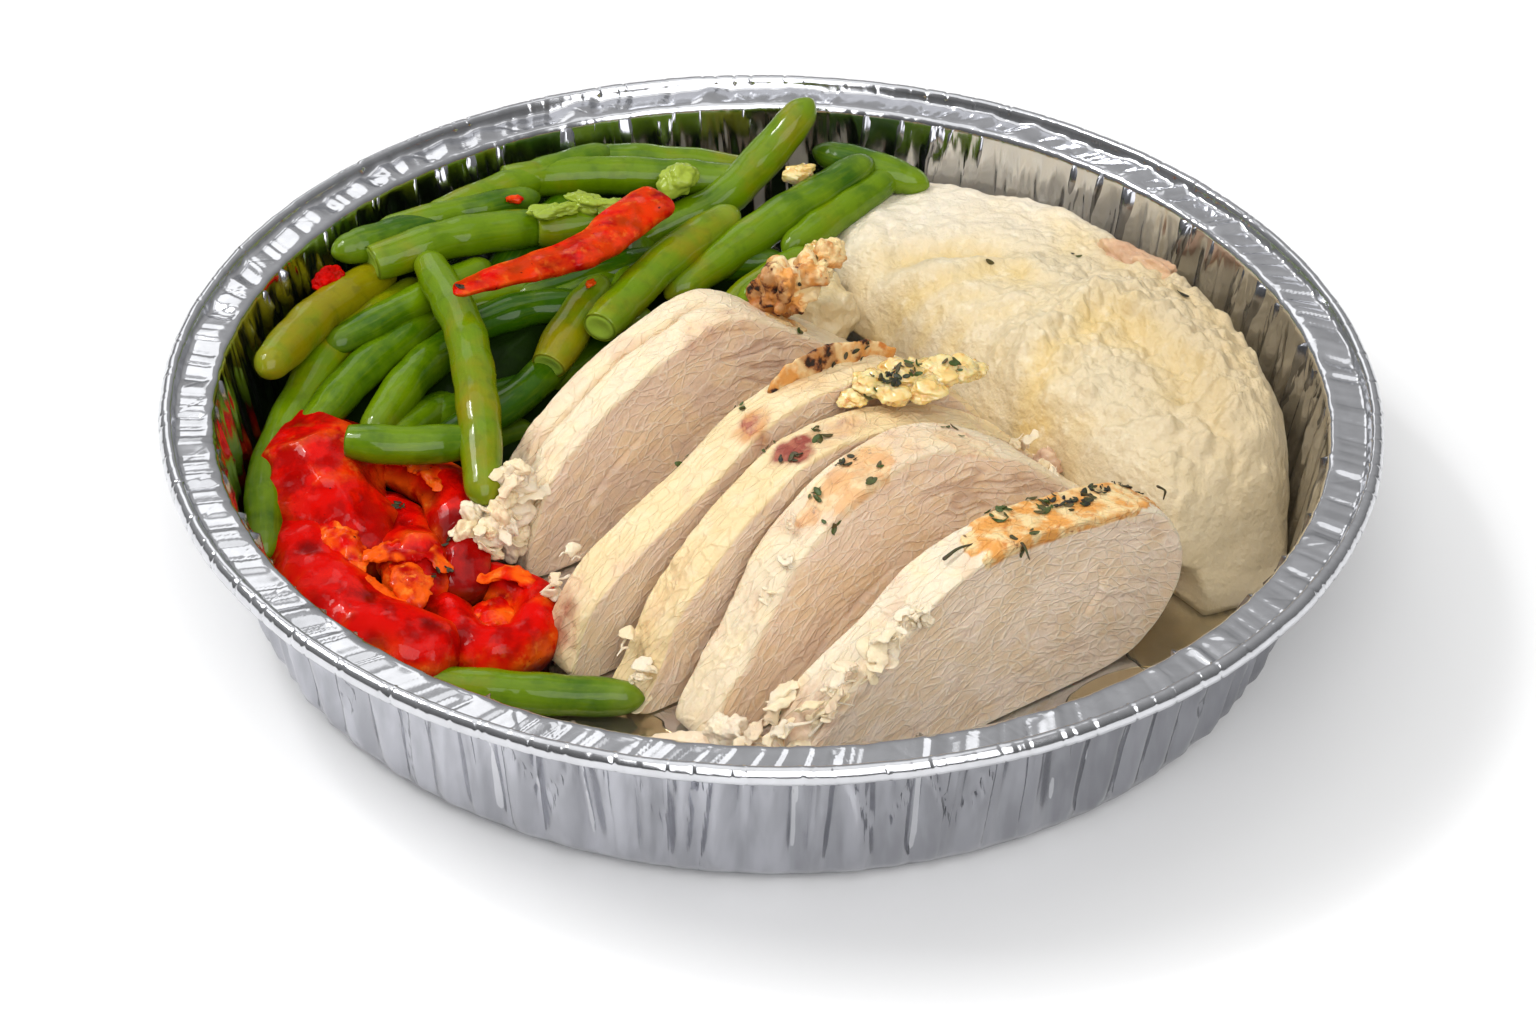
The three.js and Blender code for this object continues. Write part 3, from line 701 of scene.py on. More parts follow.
def slice_skin(cut):
    """Rings run from the heart of the face out to its rim, over the rounded edge, along the outside and
    in again over the back. The faces get muscle fibre: noise drawn out along the grain. The outside gets
    long furrows, and the roasted skin stands a little proud of it with a torn border."""
    outline = curve_through(cut["outline"], SLICE_STEPS, closed=True)
    inward = unit(SLICE_HEART - outline)
    reach = np.linalg.norm(SLICE_HEART - outline, axis=1)
    edge, thick, seed, tear = SLICE_ROUND, cut["thickness"], cut["seed"], cut["tear"]

    share = np.linspace(0, 1, FACE_RINGS + 1)[1:, None] ** 0.85
    face_inset = edge + (1 - share) * (reach - edge)
    bend = np.linspace(0, math.pi / 2, EDGE_RINGS + 1)[1:, None]
    all_round = np.ones((1, SLICE_STEPS))
    rim_inset = edge * (1 - np.sin(bend)) * all_round
    rim_depth = edge * (1 - np.cos(bend)) * all_round
    side_depth = np.linspace(edge, thick - edge, SIDE_RINGS + 2)[1:-1, None] * all_round
    back = share[::-3]
    back_inset = edge + (1 - back) * (reach - edge)
    inset = np.concatenate([face_inset, rim_inset, 0 * side_depth, rim_inset[::-1], back_inset])
    depth = np.concatenate(
        [0 * face_inset, rim_depth, side_depth, thick - rim_depth[::-1], thick + 0 * back_inset]
    )
    row = np.arange(len(inset))[:, None]
    on_face = (row < len(face_inset)).astype(float)
    on_back = (row >= len(inset) - len(back_inset)).astype(float)
    on_cut = on_face + on_back
    on_side = 1 - on_cut

    run = np.linspace(0, SLICE_GIRTH, SLICE_STEPS, endpoint=False)[None, :]
    strip = grid(run, depth, inset * 0.5 + seed * 40.0)
    left, upper = -outline[None, :, 0], smooth(outline[None, :, 1], 1, 8)
    tear = tear * smooth(left - 0.3 * outline[None, :, 1], 16, 34)
    barrel = 0.1 * np.sin(math.pi * depth / thick)
    crack_at = 0.6 * thick - 1.3 * noise(strip, (8, 99, 99), 3, 3)
    groove = cut["crack"] * np.exp(-(((depth - crack_at) / 0.55) ** 2)) * smooth(left, -12, -2) * upper
    near_rim = np.exp(-inset / 1.5) * on_cut + on_side
    rough = (0.42 + 0.7 * tear) * noise(strip, (22, 1.3, 4), seed, 2)
    rough = rough + 0.35 * noise(strip, (11, 5, 9), seed + 33, 2)
    rough = rough + (0.2 + 0.7 * tear) * noise(strip, (2.4, 1.6, 3), seed + 5, 3)
    rough = rough + 0.9 * tear * noise(strip, (6, 4, 9), 31)
    inset = inset - near_rim * rough * upper - barrel * on_side + groove

    flat = outline[None] + inward[None] * inset[..., None]
    bow = flat[..., 1] + 0.008 * (flat[..., 0] - 5) ** 2 + depth
    grain = grid(flat[..., 0], bow, 30.0 * seed)
    grain[..., 1] += 2.0 * noise(grain, (9, 7, 9), seed + 7, 2)
    fibre = noise(grain, (5, 1.1, 9), seed + 9, 3)
    swell = noise(grain, (14, 9, 9), 13, 3)
    deep = np.abs(noise(grain, (15, 2.6, 9), seed + 17, 2))
    arc_zone = smooth(flat[..., 0], -8, 14) * smooth(inset, 1.5, 4) * (1 - smooth(inset, 13, 20))
    where_split = smooth(noise(grain, (16, 7, 9), seed + 19), 0.0, 0.4)
    seams = np.exp(-((deep / 0.09) ** 2)) * np.maximum(cut["arcs"] * arc_zone, 0.4 * where_split)
    curds = 1 - strewn(grain, (2.6, 1.7, 99), seed + 40)
    flakes = tear * curds * smooth(inset, cut["flaky"], 1)
    crumbs = smooth(noise(grain, (0.9, 0.7, 9), seed + 23, 2), 0.15, 0.6)
    relief = 0.1 * fibre + 0.5 * swell - 0.4 * seams + 1.1 * flakes + 0.14 * crumbs
    if cut["split"]:
        gap, at = polyline_distance(flat, cut["split"])
        relief = relief - 0.9 * np.exp(-((gap / 0.5) ** 2)) * smooth(at, 0, 0.2) * (1 - smooth(at, 0.8, 1))
    depth = depth - (on_face - on_back) * relief * smooth(inset, 0.3, 3)

    roast, stain, tint = 0 * depth, 0 * depth, 0 * depth
    border = noise(strip, (4.5, 3, 9), seed + 21, 3)
    on_top = smooth(flat[..., 1], 12, 18) if seed > 2 else 1

    def off_centre(where, length, centre, width):
        """Distance from the middle of a patch, 1 on its oval border, squared."""
        return ((flat[..., 0] - where) / length) ** 2 + ((depth - centre) / width) ** 2

    for *oval, strength in cut["roast"]:
        patch = strength * smooth(1.15 + 0.75 * border - off_centre(*oval), 0.0, 0.35)
        roast = np.maximum(roast, patch * (1 - smooth(inset, 1.2, 2.6)) * on_top)
    for *oval, strength, hue in cut["stain"]:
        patch = strength * smooth(1.2 + 0.8 * border - off_centre(*oval), 0.0, 1.3)
        patch = patch * (1 - smooth(inset, 2, 5))
        tint = np.where(patch > stain, hue, tint)
        stain = np.maximum(stain, patch)
    proud = 0.45 * smooth(roast, 0.3, 0.5) + 0.45 * roast * noise(strip, (2.5, 2.5, 9), 29, 2)
    flat = flat - inward[None] * proud[..., None]

    margin = cut["strip"] * (1 + 0.8 * border)
    return wrapped(
        slice_frame(cut, flat, depth),
        roast=roast,
        stain=stain,
        tint=tint,
        edge=np.clip(on_side + (1 - smooth(inset, 0.5 * margin, margin + 0.3)) * on_cut, 0, 1),
        warm=cut["warm"],
        # Painted shade of the meat, deeper on the slices further back.
        dusk=cut["dusk"],
        # Where the groove is deep, the finish paints the meat darker and yellower: painted shade in the
        # crack.
        crack=np.clip(groove / 3, 0, 1),
        seam=seams * on_cut,
        grain=0.5 * grain[..., 0] * MM,
        layer=(grain[..., 1] + 40 * seed) * MM,
    )


def chicken_finish(food):
    """Cooked breast: warm beige meat, laced with fine pale fibres that follow its contour, a cream outside,
    and roasted patches that run from gold to brown with black specks. The meat lets a little light in. It is
    painted darker on the slices further back and in the crack, as painted shade."""
    f = Finish("roast_chicken")
    along = f.along("grain", "layer")
    streak = f.noise(1.2, 4.0, along, 0.6, 0.5)
    veins = f.span(f.lace(1.8, along), 0.0, 0.11, 1.0, 0.0)
    mottle = f.noise(7.0)
    grit = f.noise(0.7, 4.0)
    pits = f.span(grit, 0.4, 0.3)
    meat = f.layered(
        food.chicken_meat,
        # Painted shade: the meat darkened by its slice's share, most on the back slices.
        (f.mark("dusk"), linear(206, 172, 146)),
        (f.span(mottle, 0.38, 0.62), linear(236, 207, 170)),
        (f.times(f.span(streak, 0.48, 0.7), 0.12), linear(248, 234, 214)),
        (f.times(veins, f.span(mottle, 0.3, 0.6, 0.08, 0.34)), linear(252, 241, 225)),
        (f.times(f.span(f.noise(1.0), 0.6, 0.7), 0.4), linear(246, 236, 218)),
        (f.times(pits, 0.18), linear(176, 138, 108)),
        (f.times(f.mark("seam"), 0.55), linear(160, 116, 98)),
    )
    outside = f.layered(
        food.chicken_edge,
        (f.mark("warm"), linear(236, 208, 150)),
        (f.span(f.noise(6.0), 0.45, 0.7, 0.0, 0.8), linear(240, 220, 180)),
        (f.times(f.span(f.noise(11.0, 2.0), 0.56, 0.7), 0.5), linear(226, 190, 160)),
        (f.times(pits, 0.14), linear(190, 150, 104)),
    )
    brown = f.layered(
        linear(232, 176, 112),
        (f.mark("tint"), linear(150, 72, 58)),
        (f.span(f.noise(2.6, 4.0), 0.45, 0.65), scaled_colour(linear(190, 110, 84), 0.8)),
    )
    browned = f.times(f.mark("stain"), f.span(f.noise(4.5, 4.0), 0.3, 0.6, 0.4, 1.0), True)
    roast = f.mark("roast")
    border = f.math("SUBTRACT", f.span(roast, 0.2, 0.45), f.span(roast, 0.5, 0.8), True)
    char = f.math("ADD", f.noise(2.4, 4.0), f.times(f.span(roast, 0.9, 1.6), 0.22))
    toast = f.layered(
        food.chicken_roast,
        (f.span(f.noise(4.0, 4.0), 0.4, 0.6), linear(240, 212, 156)),
        (f.span(f.noise(3.4, 4.0), 0.56, 0.7), linear(206, 128, 56)),
        (f.times(f.span(roast, 0.95, 1.5), 0.75), linear(158, 94, 36)),
        (f.times(border, f.span(f.noise(5.0), 0.4, 0.65, 0.0, 0.7)), linear(186, 112, 46)),
        (f.span(char, 0.66, 0.78), linear(118, 62, 28)),
        (f.span(char, 0.74, 0.82), linear(40, 26, 18)),
    )
    base = f.layered(
        meat,
        (f.mark("edge"), outside),
        (browned, brown),
        (f.span(roast, 0.12, 0.5), toast),
        # Painted shade in the crack: darker and yellower where the groove is deep.
        (f.times(f.mark("crack"), 0.6), linear(196, 150, 100)),
    )
    return f.finished(
        {
            "Base Color": base,
            "Roughness": f.span(f.noise(2.4), 0.35, 0.65, 0.36, 0.6),
            "Specular IOR Level": 0.35,
            "Subsurface Weight": 0.15,
            "Subsurface Radius": (1.0, 0.55, 0.3),
            "Subsurface Scale": 0.002,
            "Normal": f.bump(veins, 0.6, 0.25, f.bump(streak, 0.2, 0.15, f.bump(grit, 0.7, 0.3))),
        }
    )


class MEAL_OT_chicken(bpy.types.Operator):
    """Make the five slices of roast chicken breast"""

    bl_idname = "meal.chicken"
    bl_label = "Chicken slices"

    def execute(self, context):
        finish = chicken_finish(context.scene.meal_food)
        for cut in SLICES:
            make_piece(cut["name"] + "_meat", [slice_skin(cut)], finish, "chicken", cut["name"])
        return {"FINISHED"}


# ---- mash -----------------------------------------------------------------------

MASH_CENTRE = np.array([62.0, 42.0])
MASH_BORDER = 46.0  # how near it comes to the slices, along them
MASH_REACH = 64.0  # how far from its middle it reaches towards the open floor
MASH_SPREAD = (6.0, 2.5)  # how much wider its foot is, on the slices' side and elsewhere
MASH_CREST = 31.0
MASH_SIDES = 440
MASH_RINGS = 40, 130  # rings over its outer tenth, and over the rest

# Folds that the spoon left: a line over the mound, its height (below 0 for a valley), and how far it
# reaches to the left and to the right of the line.
MASH_FOLDS = [
    ([[12, 53], [30, 52], [48, 54], [58, 44]], 1.8, 3.5, 2.5),
    ([[22, 58], [33, 60], [46, 57]], -2.6, 4.5, 2.5),
    ([[54, 38], [66, 36], [76, 31], [83, 21], [88, 8], [90, -4]], 2.4, 9.0, 2.6),
    ([[62, 34], [70, 28], [79, 16], [84, 2]], -1.6, 2.2, 5.0),
    ([[34, 8], [43, 17], [52, 29], [60, 37], [70, 42]], 2.4, 5.0, 4.0),
    ([[17, 31], [28, 36], [39, 39]], 1.8, 6.0, 2.0),
    ([[22, 42], [34, 46], [44, 46]], 1.4, 5.0, 2.0),
    ([[44, 88], [54, 80], [64, 70], [70, 60]], 1.6, 4.0, 4.0),
    ([[80, 48], [90, 30], [95, 8]], 1.3, 3.0, 2.0),
]


def toward_wall(centre, towards):
    """From a place inside the tray, the distance to its wall in each direction."""
    middle = towards @ centre
    return -middle + np.sqrt(middle**2 - centre @ centre + FOOD_RADIUS**2)


def toward_border(centre, towards, axis, limit):
    """The distance in each direction to the straight line where the way along the axis is the limit."""
    speed = towards @ axis
    return np.where(speed > 0.05, (limit - centre @ axis) / np.maximum(speed, 0.05), 1e9)


def mound_frame(centre, towards, reach, level):
    """Places over a mound: level is the share of the way out to its border."""
    return centre + towards[None] * (level * reach)[..., None]


def mash_skin():
    """A mound over its outline: its height falls from the crest to a foot that is high where it banks
    against the wall. Folds are added along lines, then curds: noise and strewn lumps."""
    towards = directions(MASH_SIDES)
    wall = toward_wall(MASH_CENTRE, towards)
    near_slices = toward_border(MASH_CENTRE, towards, -ALONG[:2], -MASH_BORDER)
    foot_border = toward_border(MASH_CENTRE, towards, -ALONG[:2], -MASH_BORDER - MASH_SPREAD[0])

    def top_of(flat, level):
        """Height of the mound at a place."""
        across, along = flat @ ACROSS[:2], flat @ ALONG[:2]
        near = smooth(across, 50, 76)
        slices_side = 1 - smooth(along, MASH_BORDER, MASH_BORDER + 14)
        foot = np.minimum(24 - 22 * near, 24 - 10 * slices_side)
        rise = np.maximum(1 - level**3, 0) ** (0.6 + 0.3 * near)
        return foot + (MASH_CREST - 4 * near - foot) * rise

    reach = np.minimum(np.minimum(wall, near_slices), MASH_REACH)
    spread = np.minimum(np.minimum(wall, foot_border), MASH_REACH + MASH_SPREAD[1])
    outer, rest = MASH_RINGS
    level = np.concatenate([np.linspace(1, 0.9, outer), np.linspace(0.9, 0, rest)[1:-1]])[:, None]
    flat = mound_frame(MASH_CENTRE, towards, reach, level)
    height = top_of(flat, level)
    spot = grid(flat[..., 0], flat[..., 1], 0.0)
    warp = 2.5 * wander(spot, 11, 71, axes=2)
    inner = smooth(1 - level, 0.0, 0.12)
    hollow = np.zeros_like(height)
    for path, tall, left, right in MASH_FOLDS:
        gap, where = polyline_distance(flat + warp, path)
        fade = smooth(where, -0.1, 0.2) * (1 - smooth(where, 0.8, 1.1))
        profile = np.exp(-((gap / np.where(gap > 0, left, right)) ** 2))
        height = height + tall * fade * inner * profile
        # The hollow mark lies in the valleys beside the folds; the finish paints it darker and yellower, as
        # painted shade.
        low = np.exp(-(((gap + 1.6 * right) / (1.2 * right)) ** 2)) if tall > 0 else profile
        hollow = np.maximum(hollow, fade * low * min(1, abs(tall) / 2))
    lumps = np.exp(-((strewn(spot + 1.5 * noise(spot, 5, 74)[..., None], 6.5, 75) / 0.42) ** 2))
    curd = np.exp(-((strewn(spot + 0.6 * noise(spot, 2, 76)[..., None], 2.8, 77) / 0.45) ** 2))
    coarse = smooth(flat @ ACROSS[:2], -22, 25) * 0.8 + 0.2
    height = height + inner * (1.1 * noise(spot, 19, 73, 2) + coarse * (2.3 * lumps + 1.2 * curd))
    height = height + (0.35 + 0.3 * coarse) * noise(spot, 2.6, 79, 3)
    height = height + (0.5 + 1.2 * coarse) * inner * np.abs(noise(spot, 5.0, 78, 3))

    up = np.linspace(0, 1, 14)[:-1, None]
    foot = mound_frame(MASH_CENTRE, towards, spread, np.ones((1, 1)))
    skirt = foot + (flat[:1] - foot) * (up**1.3)[..., None]
    skirt_height = FLOOR + (height[:1] - FLOOR) * up**0.7
    places, heights = np.concatenate([skirt, flat]), np.concatenate([skirt_height, height])
    points = grid(places[..., 0], places[..., 1], heights)
    bulge = 0.9 * noise(points, (7, 7, 8), 81, 3) - 0.6
    sink = unit(points[:, :, :2] - MASH_CENTRE) * bulge[..., None]
    share = np.concatenate([np.ones_like(up), 1 - inner])
    points[..., :2] += sink * share[..., None]
    return wrapped(points, hollow=np.concatenate([0 * skirt_height, hollow]))


def mash_finish(food):
    """Mashed potato: cream with a random butter-yellow tone, yellower and darker in its hollows as painted
    shade, whiter at the back as painted light and darker towards the right wall as painted shade, with a
    moist broken sheen and soft light inside."""
    f = Finish("mashed_potato")
    # Painted shade in the hollows, plus random patches of a darker butter yellow.
    hollow = f.times(f.mark("hollow"), f.span(f.noise(9.0), 0.3, 0.6, 0.35, 0.9))
    tone = f.math("ADD", f.times(f.span(f.noise(12.0), 0.45, 0.75), 0.5), hollow, True)
    base = f.layered(
        food.mash,
        (tone, food.mash_yellow_and_hollow_shade),
        (f.times(f.span(f.noise(3.0, 4.0), 0.5, 0.75), 0.5), linear(236, 226, 200)),
        # Painted light: whiter towards the back.
        (f.span(f.axis("Y"), 0.055, 0.08, 0.0, 0.5), linear(244, 236, 222)),
        # Painted shade: darker towards the right wall.
        (f.span(f.axis("X"), 0.05, 0.095, 0.0, 0.7), linear(200, 178, 138)),
    )
    return f.finished(
        {
            "Base Color": base,
            "Roughness": f.span(f.noise(3.0), 0.35, 0.7, 0.38, 0.62),
            "Subsurface Weight": 0.15,
            "Subsurface Radius": (1.0, 0.75, 0.4),
            "Subsurface Scale": 0.0015,
            "Normal": f.bump(f.noise(1.6, 5.0), 0.8, 0.7, f.bump(f.noise(4.0), 0.6, 1.0)),
        }
    )


class MEAL_OT_mash(bpy.types.Operator):
    """Make the mound of mashed potato"""

    bl_idname = "meal.mash"
    bl_label = "Mash"

    def execute(self, context):
        # The lobe carries the hollow mark all over: painted shade where it sits in the gap.
        lobe = lump_skin([9, 54, 18], [9.5, 7.5, 8.5], 0.9, 61, 0.35, 0.5, hollow=0.4)
        make_piece("mash_mound", [mash_skin(), lobe], mash_finish(context.scene.meal_food), "mash", "mash")
        return {"FINISHED"}


# ---- swept food -------------------------------------------------------------------


def swept(path, width, thickness, ends, shape, sides, rows):
    """Carries an oval section along a curve. `ends` gives two lists of (scale, shift) rows that close it;
    shift is in millimetres along the curve. `shape` gives a factor for the section's radius by place."""
    centre = curve_through(path, rows)
    along = unit(np.gradient(centre, axis=0))
    across = unit(np.cross(UP, along))
    up = np.cross(along, across)
    first, last = (np.asarray(end, float) for end in ends)
    count = (len(first), rows, len(last))
    share = np.concatenate([np.zeros(count[0]), np.linspace(0, 1, rows), np.ones(count[2])])
    scale = np.concatenate([first[:, 0], np.ones(rows), last[::-1, 0]])
    shift = np.concatenate([first[:, 1], np.zeros(rows), -last[::-1, 1]])
    pick = np.concatenate([np.zeros(count[0], int), np.arange(rows), np.full(count[2], rows - 1)])
    turn = np.linspace(0, TAU, sides, endpoint=False)[None, :]
    t = share[:, None]
    factor = shape(t, turn) * np.ones((len(share), sides))
    middle = (centre[pick] + along[pick] * shift[:, None])[:, None]
    radius = scale[:, None] * factor
    points = middle + across[pick][:, None] * (0.5 * width * radius * np.cos(turn))[..., None]
    points = points + up[pick][:, None] * (0.5 * thickness * radius * np.sin(turn))[..., None]
    return points, t, turn, scale[:, None]


def round_end(radius, point=0.0):
    """Rows that close a strand with a dome, drawn out by `point` millimetres."""
    rise = np.radians([4, 18, 34, 50, 66, 80])
    return np.stack([np.sin(rise), -radius * np.cos(rise) - point * (1 - np.sin(rise))], axis=1)


def cut_end():
    """Rows that close a strand with a blunt, slightly hollow cut and a rounded edge."""
    return [(0.1, 0.5), (0.35, 0.35), (0.62, 0.1), (0.82, 0.0), (0.93, 0.2), (0.98, 0.6), (1.0, 1.1)]


def open_end(radius):
    """Rows that close a strand with an open cut: a hollow as deep as half its width, and a thin wall."""
    return [(0.1, radius), (0.42, 0.9 * radius), (0.58, 0.5 * radius), (0.68, 0.1), (0.82, -0.1), (0.95, 0.2)]


# ---- beans ------------------------------------------------------------------------

# Beans on top of the heap: path, width, tone (0 olive, 0.5 green, 1 deep green) and its two ends (T tip,
# C closed cut, O open cut).
BEANS = [
    ([[-96, 16, 30], [-89, 34, 29], [-79, 51, 27]], 8.6, 0.05, "TT"),
    ([[-94.5, -20, 14], [-95.5, 0, 17], [-87, 29, 23.5], [-73, 49, 24.5]], 8.0, 0.45, "TT"),
    ([[-88, 10, 20], [-79, 27, 22], [-66, 45, 23]], 8.2, 0.75, "TT"),
    ([[-76, 13, 18], [-70, 27, 20], [-62, 40, 20]], 8.4, 0.7, "TT"),
    ([[-68, 47, 32], [-60, 26, 31], [-56, 5, 28], [-54, -12, 22]], 8.4, 0.35, "TT"),
    ([[-80, 48, 32], [-65, 56, 33], [-46, 65, 31]], 9.0, 0.5, "CT"),
    ([[-84, 52, 33], [-69, 62, 32]], 8.0, 0.85, "TT"),
    ([[-76, 60, 33], [-52, 71, 33]], 7.0, 0.6, "TT"),
    ([[-67, 66, 33], [-52, 78, 33], [-38, 88, 33]], 8.0, 0.55, "TT"),
    ([[-56, 78, 33], [-37, 83, 32], [-10, 84, 31]], 8.6, 0.55, "CT"),
    ([[-36, 90, 32], [-9, 90, 30]], 8.0, 0.5, "TT"),
    ([[4, 94, 40], [-3, 87, 34], [-12, 78, 29], [-26, 70, 26]], 8.6, 0.5, "TT"),
    ([[-34, 31, 29], [-23, 52, 30], [-11, 68, 31]], 8.6, 0.35, "CT"),
    ([[16, 85, 33], [-1, 69, 30], [-18, 52, 26]], 8.6, 0.6, "TT"),
    ([[22, 86, 30], [5, 66, 28]], 8.0, 0.6, "TT"),
    ([[-44, 28, 22], [-36, 46, 27]], 8.6, 0.25, "CT"),
    ([[-80, -3, 25], [-70, -4, 25], [-57, -1, 24]], 8.0, 0.65, "OT"),
    ([[-67, 20, 14], [-48, 30, 15]], 8.0, 0.9, "TT"),
    ([[-43, 35, 15], [-26, 50, 16]], 8.0, 0.95, "TT"),
    ([[-48, 62, 32], [-31, 65, 32]], 9.0, 0.45, "CC"),
    ([[4, 59, 27], [-8, 48, 24]], 7.6, 0.4, "TT"),
    ([[12, 92, 32], [27, 87, 30]], 8.0, 0.75, "TT"),
    ([[-48, 50, 24], [-26, 59, 25.5], [-2, 62, 25]], 8.0, 0.9, "TT"),
    ([[-62, 38, 23], [-46, 46, 24], [-28, 44, 23]], 8.0, 0.95, "CT"),
    ([[-64, 8, 17], [-50, 22, 18], [-40, 40, 19]], 7.6, 0.95, "TT"),
    ([[-84, 30, 26], [-60, 52, 28]], 7.4, 0.7, "TT"),
    ([[-25, 85, 32], [-17, 83, 31]], 7.4, 0.6, "CT"),
    ([[-3, 41, 32], [8, 47, 34]], 7.0, 0.4, "TT"),
]

BEAN_SIDES, BEAN_ROWS = 28, 56
FRONT_BEAN = ([[-61, -51, 5.2], [-43, -53.5, 5.4], [-27, -54, 5.2]], 8.2, 0.55, "CT")


def bean_skin(path, width, tone, ends, seed):
    """A pod: an oval section that swells a little over each seed, with the seam as a fine double ridge,
    closed by a drawn-out tip or a flat cut with a hollow."""
    draw = np.random.default_rng(100 + seed)
    seam = draw.uniform(0, TAU)
    phase = draw.uniform(0, TAU)
    length = np.linalg.norm(np.diff(np.asarray(path, float), axis=0), axis=1).sum()
    seeds = length / draw.uniform(9, 12)

    def shape(t, turn):
        """Radius of the pod: slight taper to the tips, swellings over the seeds and the seam."""
        taper = 1 - 0.16 * np.abs(2 * t - 1) ** 4
        swell = 1 + 0.025 * np.sin(TAU * seeds * t + phase)
        off = np.angle(np.exp(1j * (turn - seam)))
        ridge = 0.035 * np.exp(-((off / 0.22) ** 2)) - 0.02 * np.exp(-((off / 0.08) ** 2))
        return taper * swell * (1 + ridge)

    close = {"T": round_end(width / 2, draw.uniform(0.3, 1.6)), "C": cut_end(), "O": open_end(width / 2)}
    thickness = width * draw.uniform(0.82, 0.96)
    closed = [close[end] for end in ends]
    points, t, turn, scale = swept(path, width, thickness, closed, shape, BEAN_SIDES, BEAN_ROWS)
    points = points + 0.25 * wander(points, 9.0, seed)
    points = points + 0.06 * wander(points, 2.0, seed + 5)
    row = np.arange(len(points))[:, None]
    sliced = (row < len(closed[0])) * (ends[0] != "T") + (row >= len(row) - len(closed[1])) * (ends[1] != "T")
    return wrapped(
        points,
        tone=tone + draw.uniform(-0.25, 0.25) * np.cos(math.pi * t),
        pale=np.exp(-(((1 - np.abs(2 * t - 1)) / 0.08) ** 2)) * (0.22 if "C" in ends else 0.08),
        cut=sliced * (scale < 0.9),
        # The inside of an open cut end, which the finish paints dark as painted shade.
        hollow=sliced * (scale < 0.6) * ("O" in ends),
        length=(t * length * 0.12 + 30 * seed) * MM,
        girth=np.abs(turn - math.pi) * 0.5 * width * MM,
    )


# The core of the heap: its middle, its borders across and along the stack and from its middle, the height
# that it starts from and climbs by, and the ways over which it climbs, from the slices and the peppers.
HEAP_CENTRE = np.array([-42.0, 50.0])
HEAP_ACROSS, HEAP_ALONG, HEAP_REACH = -34.0, MASH_BORDER - 4, 85.0
HEAP_FOOT, HEAP_RISE = 10, 13.5
HEAP_FROM_SLICES, HEAP_FROM_PEPPERS = (42, 70), (-10, 62)
HEAP_SIDES, HEAP_RINGS = 160, 70


def heap_skin():
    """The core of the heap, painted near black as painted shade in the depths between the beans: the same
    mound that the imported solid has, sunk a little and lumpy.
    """
    towards = directions(HEAP_SIDES)
    reach = np.minimum.reduce(
        [
            toward_wall(HEAP_CENTRE, towards) - 2,
            toward_border(HEAP_CENTRE, towards, ACROSS[:2], HEAP_ACROSS),
            toward_border(HEAP_CENTRE, towards, ALONG[:2], HEAP_ALONG),
            np.full(len(towards), HEAP_REACH),
        ]
    )
    level = np.concatenate([[1.0, 0.995], np.linspace(0.99, 0.02, HEAP_RINGS)])[:, None]
    flat = mound_frame(HEAP_CENTRE, towards, reach, level)
    from_slices = smooth(-(flat @ ACROSS[:2]), *HEAP_FROM_SLICES)
    from_peppers = smooth(flat[..., 1], *HEAP_FROM_PEPPERS)
    height = HEAP_FOOT + HEAP_RISE * np.minimum(from_slices, from_peppers)
    height = height * np.maximum(1 - level**8, 0) ** 0.25 + FLOOR
    height[0] = FLOOR
    ridge = np.abs(noise(grid(flat[..., 0], flat[..., 1], height), (7, 9, 30), 91, 2))
    height = height + np.where(level < 0.99, 2.2 * (ridge - 0.5), 0)
    # Tone 1.6, beyond deep green, paints the core near black: painted shade between the beans.
    return wrapped(grid(flat[..., 0], flat[..., 1], height), tone=1.6)


FILLERS = 34  # how many are drawn
FILLER_BOX = (-84, 8), (-6, 88)  # where their middles are drawn
FILLER_MIDDLE, FILLER_END = 84, 92  # how far their middles and ends may lie from the tray's middle
FILLER_ACROSS, FILLER_ALONG = -46, 38  # how near their middles may come to the slices and to the mash


def filler_beans():
    """Beans that lie half sunk in the core and show in the gaps: strewn by a seeded draw over the mound,
    most of them running the way that the beans above do."""
    draw = np.random.default_rng(61)
    skins = []
    for k in range(FILLERS):
        x, y = (draw.uniform(*side) for side in FILLER_BOX)
        across, along = x * ACROSS[0] + y * ACROSS[1], x * ALONG[0] + y * ALONG[1]
        inside = math.hypot(x, y) < FILLER_MIDDLE and across < FILLER_ACROSS and along < FILLER_ALONG
        swing = draw.uniform(0.2, 1.5)
        tone, length = draw.uniform(0.6, 1.15), draw.uniform(12, 20)
        if not inside:
            continue
        climb = float(smooth(-across, *HEAP_FROM_SLICES) * smooth(y, *HEAP_FROM_PEPPERS))
        middle = np.array([x, y, HEAP_FOOT + 0.5 + 12 * climb + draw.uniform(-1, 3)])
        step = np.array([math.cos(swing), math.sin(swing), draw.uniform(-0.1, 0.1)]) * length
        path = [middle - step, middle + [0, 0, 1.2], middle + step]
        if max(math.hypot(*place[:2]) for place in path) < FILLER_END:
            skins.append(bean_skin(path, 8.0, tone, "TT", 200 + k))
    return skins


